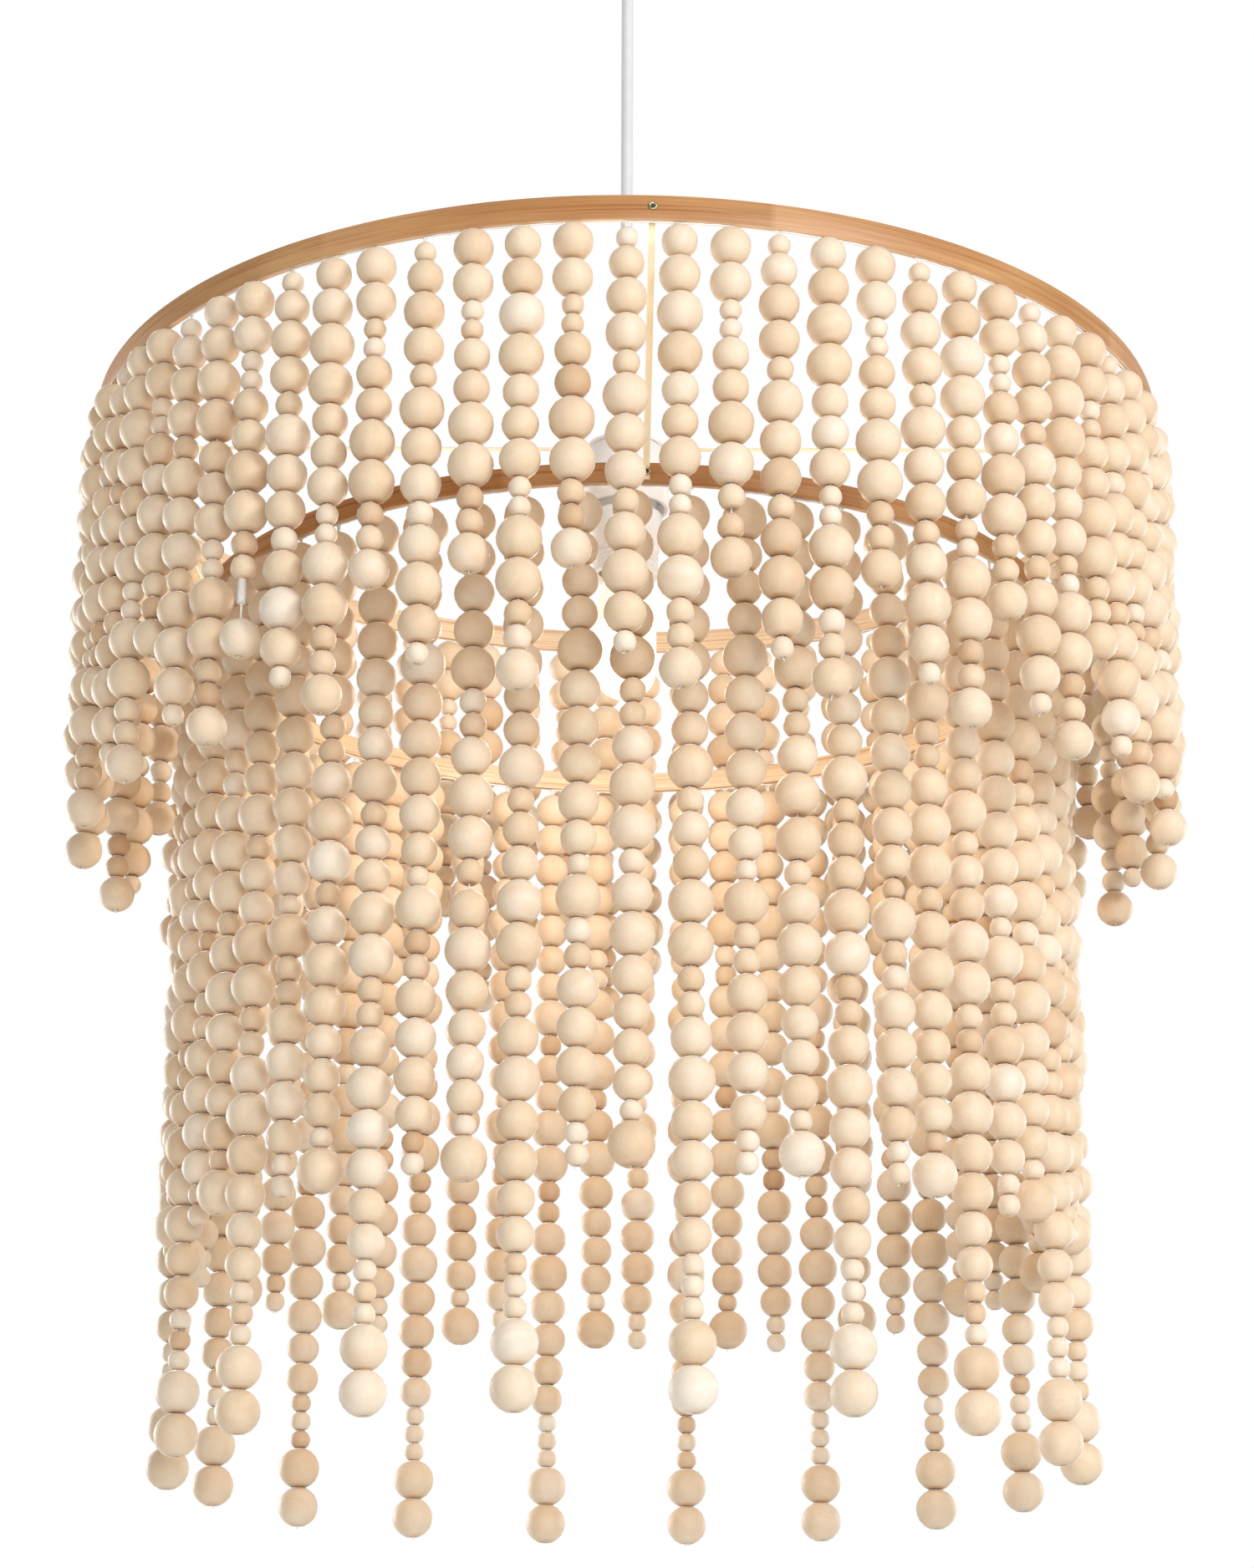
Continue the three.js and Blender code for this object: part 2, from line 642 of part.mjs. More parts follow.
// Some strands side by side and the thread that laces them under the hoop
function strandSet(recipes, radius, firstDeg, pitchDeg, hoopBottom) {
  const body = new Body();
  const laceTop = hoopBottom - LACE_GAP;
  const halfLaceDeg = THREE.MathUtils.radToDeg(LACE_WIDTH / 2 / radius);
  let previous = null;
  recipes.forEach((beads, index) => {
    const bearingDeg = firstDeg + index * pitchDeg;
    const from = laceSection(body, radius, bearingDeg - halfLaceDeg, laceTop);
    const to = laceSection(body, radius, bearingDeg + halfLaceDeg, laceTop);
    if (previous) {
      laceSides(body, previous, from);
      laceUnderside(body, previous, from);
    } else {
      body.face(from.outer, from.crown, from.inner);
    }
    laceSides(body, from, to);
    hangStrand(body, beads, radius, bearingDeg, hoopBottom, from, to);
    previous = to;
  });
  body.face(previous.outer, previous.inner, previous.crown);
  return body.geometry();
}

// Hangs a whole tier, set by set. The strands that are left over join the last set.
function hangTier(name, tier) {
  const strands = strandCount(tier.hoopRadius, tier.spacing);
  const pitchDeg = 360 / strands;
  const setSize = tier.set.length;
  const sets = Math.floor(strands / setSize);
  const radius = tier.hoopRadius - STRAND_INSET;
  for (let index = 0; index < sets; index += 1) {
    const recipes = [...tier.set];
    const extras = index === sets - 1 ? strands - sets * setSize : 0;
    for (let extra = 0; extra < extras; extra += 1) {
      recipes.splice(tier.extraPlace, 0, tier.extra);
    }
    const firstDeg = tier.firstDeg + index * setSize * pitchDeg;
    const geometry = strandSet(recipes, radius, firstDeg, pitchDeg, tier.hoopBottom);
    addPiece(chandelier, `${name}_${String(index + 1).padStart(2, "0")}`, geometry, beadWood);
  }
}

hangTier("outer_strands", {
  spacing: OUTER_SPACING,
  firstDeg: OUTER_FIRST_DEG,
  set: OUTER_SET,
  extra: OUTER_EXTRA,
  extraPlace: OUTER_EXTRA_PLACE,
  hoopRadius: OUTER_HOOP_RADIUS,
  hoopBottom: outerHoopTop - OUTER_HOOP_HEIGHT,
});
hangTier("inner_strands", {
  spacing: INNER_SPACING,
  firstDeg: INNER_FIRST_DEG,
  set: INNER_SET,
  extra: INNER_EXTRA,
  extraPlace: INNER_EXTRA_PLACE,
  hoopRadius: INNER_HOOP_RADIUS,
  hoopBottom: innerHoopTop - INNER_HOOP_HEIGHT,
});

export default chandelier;
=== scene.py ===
# The beaded chandelier as it looks. Lengths are millimetres until MM turns them into metres.
import math

import bpy
import numpy as np
from mathutils import Matrix, Vector


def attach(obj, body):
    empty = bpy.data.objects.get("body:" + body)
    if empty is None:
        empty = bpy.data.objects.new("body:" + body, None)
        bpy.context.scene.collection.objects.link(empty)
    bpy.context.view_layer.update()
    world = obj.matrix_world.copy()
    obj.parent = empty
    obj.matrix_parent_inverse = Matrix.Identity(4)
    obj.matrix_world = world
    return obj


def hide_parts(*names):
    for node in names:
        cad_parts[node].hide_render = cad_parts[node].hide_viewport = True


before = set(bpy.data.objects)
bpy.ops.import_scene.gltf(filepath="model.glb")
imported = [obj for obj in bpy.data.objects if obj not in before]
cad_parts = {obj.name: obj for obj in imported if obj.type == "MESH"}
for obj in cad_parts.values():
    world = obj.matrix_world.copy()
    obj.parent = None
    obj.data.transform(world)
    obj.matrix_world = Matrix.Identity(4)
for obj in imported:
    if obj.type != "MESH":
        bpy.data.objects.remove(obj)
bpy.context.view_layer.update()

MM = 0.001
rng = np.random.default_rng(7)

# Fit between pieces, and tubes in general
TOUCH_GAP = 0.3
TUBE_SIDES = 6
LEAST_SIDE = 0.1

# Heights, from the ceiling down
CUP_HEIGHT = 32
CUP_RADIUS = 45
BALL_HEIGHT = -23.07
BALL_RADIUS = 8.5
FLEX_TOP = -31.87
FLEX_LENGTH = 290
FLEX_DIAMETER = 6.4
FLEX_BOTTOM = FLEX_TOP - FLEX_LENGTH
HOOP_TOP = -329.28
TIER_DROP = 108
INNER_TOP = HOOP_TOP - TIER_DROP

# Ceiling cup and the ball in its floor. An arc is its first and last degree and its steps
CUP_FLOOR = 3
CUP_EDGE = 6
CUP_CHAMFER = 0.6
CUP_HOLE = 6.5
CUP_HOLE_EDGE = 0.5
SOCKET_RADIUS = 8.8
SOCKET_ROOM = 10.5
CUP_EDGE_ARC = (-90, 0, 6)
BALL_ARC = (-90, 62, 16)
CUP_SIDES = 96
BALL_SIDES = 40

# Flex
FLEX_POINTS = 30
FLEX_SIDES = 24

# Hoops
OUTER_RADIUS = 275
OUTER_HEIGHT = 12.5
INNER_RADIUS = 220
INNER_HEIGHT = 10.5
STRIP = 3.2
STRIP_EDGE = 0.45
HOOP_STEPS = 240
OUTER_LAP_DEG = 148
INNER_LAP_DEG = 200
LAP_SPAN_DEG = 18
LAP_STEPS = 24
LAP_SEAT = 0.05
LAP_THINNING = 2.6
LAP_TAPER = 1.4
OUTER_JOINT_DEG = 13.5
INNER_JOINT_DEG = 30
JOINT_PITCH_DEG = 45

# Lampholder: cap with its dome and collar
DOME_RADIUS = 22.4
DOME_DROP = 16
DOME_CENTRE = HOOP_TOP - DOME_DROP
DOME_SKIRT = 22
DOME_WALL = 2
DOME_EDGE = 0.6
DOME_OUTSIDE_ARC = (0, 74, 14)
DOME_INSIDE_ARC = (80, 0, 10)
FLEX_IN_COLLAR = 4
COLLAR_TOP = FLEX_BOTTOM + FLEX_IN_COLLAR
COLLAR = ((5.9, -5), (5.6, -0.8), (5.0, 0))
CAP_RIM = DOME_CENTRE - DOME_SKIRT
HOLDER_SIDES = 72

# Lampholder: barrel, measured up from its mouth
BARREL_LENGTH = 37
BARREL_MOUTH = CAP_RIM - BARREL_LENGTH
BARREL_TOP_RADIUS = 19
BARREL_MOUTH_RADIUS = 17
BARREL_LIP = 1.8
BARREL_EDGE = 0.5
BARREL_TURNS = 4
BARREL_PITCH = 2.7
BARREL_THREAD = ((-1.2, 0.4), (-1.2, 1), (-0.2, 1.5), (0, 2.4), (-0.3, BARREL_PITCH))
BARREL_BODY = ((-0.4, 13.4), (0.5, 13.9), (0.8, 19), (1.4, 19.5))
BARREL_SHOULDER = 33.5
BARREL_NECK_RADIUS = 16
BARREL_FLANGE = 3
BARREL_IN_CAP = 10
BORE = 14.6

# Lampholder: screw shell and contact carrier
SHELL_INSET = 2.5
SHELL_LENGTH = 30
SHELL_BOTTOM = BARREL_MOUTH + SHELL_INSET
SHELL_TOP = SHELL_BOTTOM + SHELL_LENGTH
SHELL_WALL = 0.5
SHELL_RIDGE = 0.35
SHELL_RINGS = 12
SHELL_SIDES = 64
CONTACT = ((0, -1.5), (3.6, -1.5), (4, -1.1), (4, 0))
CARRIER_HEIGHT = 5
CARRIER_SIDES = 48

# Bulb: screw cap with its thread and contact
BULB_SIDES = 48
BULB_TIP_GAP = 1.5
BULB_CONTACT_HEIGHT = 2.5
BULB_CAP_HEIGHT = 23
BULB_TIP = SHELL_TOP - BULB_TIP_GAP
BULB_CAP_TOP = BULB_TIP - BULB_CONTACT_HEIGHT
BULB_CAP_BOTTOM = BULB_CAP_TOP - BULB_CAP_HEIGHT
BULB_CAP_FOOT = ((0, 0), (12.6, 0), (13, 0.5))
BULB_CAP_TURNS = 4
BULB_CAP_PITCH = BULB_CAP_HEIGHT / (BULB_CAP_TURNS + 1)
BULB_THREAD_SHARES = ((12.9, 0.3), (12.1, 0.55), (12.3, 0.75), (13, 1))
BULB_CAP_CROWN = ((11.4, -3), (5.5, 0), (4.5, 0.6))
BULB_CONTACT = ((4.3, -0.4), (3.0, 0), (0, 0))

# Bulb: glass, measured from the shoulder between its neck and its body
BULB_RADIUS = 16
NECK_LENGTH = 30
BODY_LENGTH = 27
BODY_END_ARC = (-90, 0, 12)
BODY_TOP = ((BULB_RADIUS, -8), (15.6, -4), (0, -4))
NECK = ((0, -4), (15.9, -4), (16, -3.4), (15.9, 0), (15, 7), (13.4, 14), (11.6, 20), (10.7, 25))
NECK_RADIUS = 10.5

# Spider
SPIDER_DROP = 3.3
SPIDER_HEIGHT = HOOP_TOP - SPIDER_DROP
SPIDER_RING = 19.9
SPIDER_WIRE = 1.8
SPIDER_SIDES = 10
SPIDER_RING_STEPS = 48
SPIDER_ARM_POINTS = 12
SPIDER_ARMS_DEG = (0, 90, 180, 270)
SPIDER_BEND = 4
SPIDER_BEND_DEG = (20, 45, 70, 90)
SPIDER_TIP_DROP = 7

# Hangers and their rivets
HANGER_GAPS = (0, 24, 49)
HANGER_WIDTH = 3
HANGER_THICKNESS = 1.2
HANGER_TAB = 9
HANGER_INSET = 2
HANGER_TOP_BEND = (0.8, 0.6)
HANGER_TOP_BEND_RISE = 2
HANGER_LOW_BEND = (1.4, 2.2)
HANGER_LOW_BEND_DROP = 1
OUTER_RIVET_DROP = 5.5
INNER_RIVET_DROP = 5
RIVET = ((2.1, 0), (2.2, 0.25), (1.9, 0.6), (1.4, 0.65), (1.05, 0.4), (0.95, 0))
RIVET_SIDES = 16
# The dark disc of painted shade in each rivet's hole: its radius and its rise
RIVET_HOLE_RADIUS = 1.1
RIVET_HOLE_RISE = 0.15

# Strands: bead diameters, top first
SHORT = (18, 18, 10, 10, 16, 16, 20, 20, 12, 12, 18)
MIDDLE = (10, 16, 18, 18, 12, 20, 18, 18, 12, 18, 20, 18, 10)
LONG = (16, 18, 20, 20, 16, 16, 18, 10, 10, 20, 20, 12, 12, 18)
TWIN_END = (20, 16, 16, 16, 20, 18, 18, 18, 18, 16, 10, 20, 12, 12, 18, 18, 18, 16, 10, 10)
DROP_END = (18, 18, 18, 18, 20, 12, 12, 18, 20, 20, 12, 18, 20, 18, 16, 16, 16, 10, 20)
TAIL = (18, 18, 18, 18, 18, 16, 16, 20, 12, 16, 16, 20, 20, 12, 12, 18, 20, 18, 18,
        16, 16, 10, 10, 10, 20, 20)
STRAND_INSET = 1.5
OUTER_STRANDS = 73
OUTER_FIRST_DEG = 0
OUTER_SETS = [(MIDDLE, LONG, SHORT)] * 23 + [(MIDDLE, SHORT, LONG, SHORT)]
INNER_STRANDS = 55
INNER_FIRST_DEG = 99.2
INNER_SETS = [(TWIN_END, DROP_END, TAIL)] * 17 + [(TWIN_END, DROP_END, TAIL, DROP_END)]

# Beads
BEAD_DIAMETERS = (10, 12, 16, 18, 20)
SMALL_BEAD = 14
BORE_RADIUS = 1.5
BEAD_PLAY = 0.2
END_HOLLOW = 1.2
BEAD_FULLNESS_SHARE = 1.05
BEAD_STRETCH_SHARE = 1.008
SMALL_BEAD_STEPS = (12, 6)
BEAD_STEPS = (16, 8)

# Tone of the wood: 0 is nearly white and 1 is tan. A pair is a middle and a spread
CREAM_TONE = (0.45, 0.14)
TAN_TONE = (0.66, 0.16)
PALE_SHARES = {10: 0.75, 12: 0.15, 16: 0.07, 18: 0.07, 20: 0.07}
SMALL_PALE_SHARE = 0.24
PALE_SHARE = 0.5
# Painted shade added to the tone: at the flat ends where beads touch, and darker into holes and end
# hollows
PAINTED_CONTACT_SHADE = 0.3
PAINTED_HOLE_SHADE = 0.5
PAINTED_HOLE_EDGE_SHADE = 0.25
# The darkest that tone and painted shade together may reach
DARKEST_TONE_WITH_SHADE = 1.3

# How unevenly the strands hang
OUTER_DROPS = (0.6, 2.4)
SMALL_FIRST_DROP = 1.8
INNER_DROPS = (2.8, 6.4)
OUTER_SPREAD = 0.7
INNER_SPREAD = 1.3
SLACK_SHARE = 0.012
SLACK = (0.8, 2.8)
BEAD_LEAN_DEG = 2.2
BEAD_SIZE_SHARE = 0.008
BEAD_WANDER = 0.12
STRAND_LEAN_SHARE = 0.0022
GRAIN_REACH = 400

# The one strand whose last bead has slipped down, with bare and then wound thread above it
SLIPPED_STRAND = ("outer", 65)
SLIPPED_BEAD_DROP = 20
SLIPPED_GAP = 0.5
SLIPPED_BOW = 0.1
BARE_THREAD_SHARE = 1.2
WOUND_THREAD_SHARE = 4.7
WOUND_FROM_SHARES = (0.4, 0.5, 1)

# Thread through a strand, its two legs over the first bead, and its knot and tufts under the last
THREAD_RADIUS = 0.45
THREAD_SIDES = 5
THREAD_RISE = 0.1
THREAD_IN_LAST_BEAD = 2
LEG_DEPTH = 2
LEG_SPREAD = (0.5, 1.0)
LEG_DROP = 0.4
LEG_BOW = 0.1
KNOT_RISE = 1.2
KNOT = ((0, -1), (0.8, -0.5), (1, 0), (0.8, 0.5), (0, 1))
KNOT_SIDES = 8
TUFT_COUNTS = (0, 0, 1, 2)
TUFT_LEAN = (0.5, 1.4)
TUFT_LENGTH = (1.2, 2.6)
TUFT_BEND_SHARES = (0.6, 0.5)
TUFT_SHARE = 0.7

# Lacing under the hoops, with lashings over every strand
LACE_STEPS_PER_DEG = 1.6
LACE_DROP = 0.55
LACE_WANDER = 0.15
LACE_RISE_WANDER = 0.08
LASHINGS = 3
LASHING_DROP = 0.75
LASHING_WANDER_DEG = 0.12
LASHING_RISE_WANDER = 0.12
LASHING_HALF = (1.0, 2.2)
LASHING_SHARE = 0.9

# Colours of the materials, 0 to 255 as the eye reads them
BEAD_TONES = ((0.0, (238, 230, 218)), (0.2, (234, 218, 198)), (0.5, (229, 209, 183)),
              (0.75, (222, 197, 168)), (1.0, (202, 168, 134)))
BEAD_FIBRE_COLOURS = ((255, 252, 247), (232, 212, 190))
BEAD_RING_COLOURS = ((255, 255, 253), (243, 228, 208))
BEAD_PORE_COLOUR = (150, 110, 80)
BAMBOO_TONES = ((0.3, (179, 128, 76)), (0.55, (194, 146, 94)), (0.75, (209, 167, 118)))
BAMBOO_JOINT_COLOUR = (222, 178, 134)
# Inner face and lower edge: paler cut faces, with painted light on them, the bulb's glow inside and
# light from below
BAMBOO_INSIDE_LIT_COLOUR = (234, 211, 180)
BAMBOO_UNDERSIDE_LIT_COLOUR = (240, 216, 188)
BAMBOO_FIBRE_COLOURS = ((255, 248, 236), (196, 152, 112))
BAMBOO_STREAK_COLOURS = ((255, 255, 255), (196, 150, 106))
THREAD_COLOURS = ((250, 250, 248), (226, 224, 218))
GLASS_COLOURS = ((255, 250, 240), (252, 245, 230))
GLOW_COLOUR = (255, 238, 212)
WHITE_COLOUR = (247, 247, 248)
FLEX_COLOUR = (217, 220, 225)
CREAM_COLOUR = (255, 244, 208)
CERAMIC_COLOUR = (214, 208, 198)
# Painted shade: the dark disc that stands for the shadowed inside of each rivet's hole
RIVET_HOLE_SHADE_COLOUR = (52, 60, 52)
NICKEL_COLOUR = (196, 190, 178)
BRASS_COLOUR = (206, 196, 160)
MOULDED_SHADE_SHARES = (0.982, 0.98, 0.976)
WORN_METAL_SHARES = (0.78, 0.74, 0.68)

# Fineness of the materials, in waves per millimetre: across, across and along the grain
BEAD_FIBRES = (0.8, 0.8, 0.07)
BEAD_RINGS = (0.16, 0.16, 0.02)
BEAD_PORES = (1.1, 1.1, 0.35)
BAMBOO_FIBRES = (0.02, 1.3, 1.3)
BAMBOO_STREAKS = (0.006, 0.5, 0.5)
BAMBOO_BLOTCHES = (0.012, 0.05, 0.05)
MOULDED_CLOUDS = 0.12
MOULDED_SKIN = 2.5
METAL_WEAR = 0.7
THREAD_PLIES = 3.0
GLASS_CLOUDS = 0.1

# Strength of what each layer of a material adds
BEAD_FIBRE_SHARE = 0.16
BEAD_RING_SHARE = 0.4
BAMBOO_FIBRE_SHARE = 0.55
BAMBOO_STREAK_SHARE = 0.6
BULB_GLOW = 1.6
NECK_GLOW = 0.6

# Studio: metres for places and sizes, watts for strengths
FILL_STRENGTH = 0.5
FILL_TINT = (1, 0.985, 0.94, 1)
WHITE_ROOM = (1, 1, 1, 1)
AREA_LIGHTS = (
    ("key", (1.7, -2.1, 0.3), (0, 0, -0.6), 0.9, 34),
    ("front", (0.5, -2.7, -0.75), (0, 0, -0.65), 1.0, 27),
    ("left rim", (-2.2, 1.9, -0.3), (0, 0, -0.7), 1.0, 58),
    ("right rim", (2.2, 1.9, -0.3), (0, 0, -0.7), 1.0, 28),
)
BULB_LIGHT = 1.15
BULB_LIGHT_TINT = (1.0, 0.88, 0.74)
BULB_LIGHT_RADIUS = 0.01
BULB_LIGHT_DROP = 54
FLOOR_HALF = 6
FLOOR_HEIGHT = -2.6
FLOOR_GREY = (0.9, 0.9, 0.9, 1)
FLOOR_ROUGHNESS = 0.9

# Camera, solved from the hoops and the strand ends in the photograph
IMAGE_HEIGHT = 1876
IMAGE_WIDTH = 1500
FOCAL_PIXELS = 4463
PRINCIPAL_POINT = (746.8, 1032)
CAMERA_DISTANCE = 1798.4
CAMERA_BELOW_HOOP = 807.4
CAMERA_PITCH_DEG = 17.77
CAMERA_ROLL_DEG = 0.209
SENSOR = 36

camera_data = bpy.data.cameras.new("camera")
camera_data.sensor_width = SENSOR
camera_data.lens = FOCAL_PIXELS / IMAGE_HEIGHT * SENSOR
camera_data.shift_x = (IMAGE_WIDTH / 2 - PRINCIPAL_POINT[0]) / IMAGE_HEIGHT
camera_data.shift_y = (PRINCIPAL_POINT[1] - IMAGE_HEIGHT / 2) / IMAGE_HEIGHT
camera = bpy.data.objects.new("camera", camera_data)
bpy.context.collection.objects.link(camera)
spot = Vector((0, -CAMERA_DISTANCE * MM, (HOOP_TOP - CAMERA_BELOW_HOOP) * MM))
tilt = Matrix.Rotation(math.radians(90 + CAMERA_PITCH_DEG), 4, "X")
roll = Matrix.Rotation(math.radians(CAMERA_ROLL_DEG), 4, "Z")
camera.matrix_world = Matrix.Translation(spot) @ tilt @ roll
bpy.context.scene.camera = camera


def outward(bearing):
    """The direction out from the lamp's axis, at degrees round from the front."""
    angle = math.radians(bearing)
    return np.array([math.sin(angle), -math.cos(angle), 0.0])


def along(bearing):
    """The direction along a hoop at a bearing."""
    angle = math.radians(bearing)
    return np.array([math.cos(angle), math.sin(angle), 0.0])


def moved(profile, radius, height):
    """A profile of (radius, height) points, moved out and up."""
    return [(radius + reach, height + rise) for reach, rise in profile]


def arc(centre, radius, start, end, steps):
    """Profile points on an arc, angles in degrees up from the horizontal."""
    found = []
    for angle in np.radians(np.linspace(start, end, steps + 1)):
        found.append((radius * math.cos(angle), centre + radius * math.sin(angle)))
    return found


def bands(rings, sides, closed=False):
    """Faces between rings of points that follow each other, each ring with as many points."""
    faces = []
    for ring in range(rings if closed else rings - 1):
        upper = (ring + 1) % rings
        for k in range(sides):
            j = (k + 1) % sides
            faces.append([ring * sides + k, ring * sides + j, upper * sides + j, upper * sides + k])
    return faces


class Shape:
    """Collects points and faces, with a place in the grain and a tone for every point."""

    def __init__(self):
        self.points, self.faces, self.smooth = [], [], []
        self.place, self.tone = [], []
        self.count = 0

    def add(self, points, faces, place=None, tone=0.5, smooth=True):
        """Adds one form. Faces of more than four corners are flat ends."""
        points = np.asarray(points, float)
        self.points.append(points)
        self.place.append(points if place is None else np.asarray(place, float))
        self.tone.append(np.broadcast_to(tone, len(points)))
        for face in faces:
            self.faces.append([corner + self.count for corner in face])
            self.smooth.append(smooth and len(face) <= 4)
        self.count += len(points)

    def build(self, name, material, body, *nodes, slot=None):
        """Makes one piece that moves with a body and stands for the nodes."""
        mesh = bpy.data.meshes.new(name)
        points = np.concatenate(self.points) * MM
        sizes = np.fromiter((len(face) for face in self.faces), int, len(self.faces))
        corners = np.concatenate([np.asarray(face) for face in self.faces])
        mesh.vertices.add(len(points))
        mesh.vertices.foreach_set("co", points.astype(np.float32).ravel())
        mesh.loops.add(len(corners))
        mesh.loops.foreach_set("vertex_index", corners.astype(np.int32))
        mesh.polygons.add(len(sizes))
        starts = np.concatenate([[0], np.cumsum(sizes)[:-1]])
        mesh.polygons.foreach_set("loop_start", starts.astype(np.int32))
        mesh.polygons.foreach_set("loop_total", sizes.astype(np.int32))
        mesh.polygons.foreach_set("use_smooth", self.smooth)
        place = mesh.attributes.new("place", "FLOAT_VECTOR", "POINT")
        place.data.foreach_set("vector", np.concatenate(self.place).astype(np.float32).ravel())
        tone = mesh.attributes.new("tone", "FLOAT", "POINT")
        tone.data.foreach_set("value", np.concatenate(self.tone).astype(np.float32))
        mesh.update()
        mesh.validate()
        mesh.materials.append(material)
        piece = bpy.data.objects.new(name, mesh)
        bpy.context.collection.objects.link(piece)
        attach(piece, body)
        if nodes:
            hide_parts(*nodes)
        return piece


def turned(shape, profile, segments, centre=(0, 0, 0), closed=True):
    """Turns a profile of (radius, height) points round the vertical axis."""
    angles = np.arange(segments) * 2 * math.pi / segments
    rings, points = [], []
    for radius, height in profile:
        if radius == 0:
            rings.append([len(points)] * segments)
            points.append((0, 0, height))
        else:
            rings.append(list(range(len(points), len(points) + segments)))
            points.extend((radius * math.cos(a), radius * math.sin(a), height) for a in angles)
    faces = []
    pairs = list(zip(rings, rings[1:])) + ([(rings[-1], rings[0])] if closed else [])
    for lower, upper in pairs:
        for i in range(segments):
            j = (i + 1) % segments
            face = [lower[i], lower[j], upper[j], upper[i]]
            face = [c for n, c in enumerate(face) if c not in face[:n]]
            if len(face) > 2:
                faces.append(face)
    shape.add(np.array(points) + np.array(centre), faces)


def tube(shape, route, radius, sides=TUBE_SIDES):
    """A round tube along a route, with closed ends."""
    route = np.asarray(route, float)
    ahead = np.gradient(route, axis=0)
    ahead /= np.linalg.norm(ahead, axis=1)[:, None]
    side = np.cross(ahead[0], (0.0, 0.0, 1.0))
    if np.linalg.norm(side) < LEAST_SIDE:
        side = np.cross(ahead[0], (1.0, 0.0, 0.0))
    points = []
    for centre, forward in zip(route, ahead):
        side = side - forward * side.dot(forward)
        side /= np.linalg.norm(side)
        other = np.cross(forward, side)
        for k in range(sides):
            angle = 2 * math.pi * k / sides
            points.append(centre + radius * (side * math.cos(angle) + other * math.sin(angle)))
    last = (len(route) - 1) * sides
    ends = [list(range(sides))[::-1], [last + k for k in range(sides)]]
    shape.add(points, bands(len(route), sides) + ends)


# Materials
def linear(red, green, blue):
    """A colour as the eye reads it, 0 to 255, turned into an amount of light."""
    def one(value):
        share = value / 255
        return share / 12.92 if share <= 0.04045 else ((share + 0.055) / 1.055) ** 2.4
    return (one(red), one(green), one(blue), 1.0)


def shaded(colour, shares):
    return tuple(value * share for value, share in zip(colour, shares))


class Nodes:
    """A material's node tree, with short ways to add and join its nodes."""

    def __init__(self, name):
        self.material = bpy.data.materials.new(name)
        self.material.use_nodes = True
        self.tree = self.material.node_tree
        self.shader = self.tree.nodes["Principled BSDF"]

    def node(self, kind, **settings):
        made = self.tree.nodes.new(kind)
        for key, value in settings.items():
            setattr(made, key, value)
        return made

    def join(self, source, target):
        self.tree.links.new(source, target)

    def attribute(self, name, output):
        return self.node("ShaderNodeAttribute", attribute_name=name).outputs[output]

    def scaled(self, vector, scale):
        made = self.node("ShaderNodeVectorMath", operation="MULTIPLY")
        self.join(vector, made.inputs[0])
        made.inputs[1].default_value = scale
        return made.outputs[0]

    def noise(self, vector, scale=1.0, detail=2.0, roughness=0.5):
        made = self.node("ShaderNodeTexNoise")
        self.join(vector, made.inputs["Vector"])
        made.inputs["Scale"].default_value = scale
        made.inputs["Detail"].default_value = detail
        made.inputs["Roughness"].default_value = roughness
        return made.outputs["Fac"]

    def ramp(self, value, stops):
        made = self.node("ShaderNodeValToRGB")
        self.join(value, made.inputs[0])
        points = made.color_ramp.elements
        while len(points) < len(stops):
            points.new(0.5)
        for point, (place, colour) in zip(points, stops):
            point.position = place
            point.color = linear(*colour)
        return made.outputs["Color"]

    def spread(self, value, source, target=(0.0, 1.0)):
        """Stretches the source range of a value onto the target range."""
        made = self.node("ShaderNodeMapRange")
        self.join(value, made.inputs["Value"])
        for name, number in zip(("From Min", "From Max", "To Min", "To Max"), source + target):
            made.inputs[name].default_value = number
        return made.outputs["Result"]

    def mix(self, share, first, second, blend="MIX"):
        """Mixes two colours, each an output of a node or three numbers from 0 to 255."""
        made = self.node("ShaderNodeMix", data_type="RGBA", blend_type=blend)
        for socket, value in ((made.inputs[0], share), (made.inputs[6], first),
                              (made.inputs[7], second)):
            if isinstance(value, tuple):
                socket.default_value = linear(*value)
            elif isinstance(value, float):
                socket.default_value = value
            else:
                self.join(value, socket)
        return made.outputs[2]

    def bump(self, height, strength, distance):
        made = self.node("ShaderNodeBump")
        made.inputs["Strength"].default_value = strength
        made.inputs["Distance"].default_value = distance
        self.join(height, made.inputs["Height"])
        self.join(made.outputs["Normal"], self.shader.inputs["Normal"])

    def colour(self, source):
        self.join(source, self.shader.inputs["Base Color"])

    def roughness(self, source):
        self.join(source, self.shader.inputs["Roughness"])

    def set(self, **sockets):
        for name, value in sockets.items():
            self.shader.inputs[name.replace("_", " ")].default_value = value


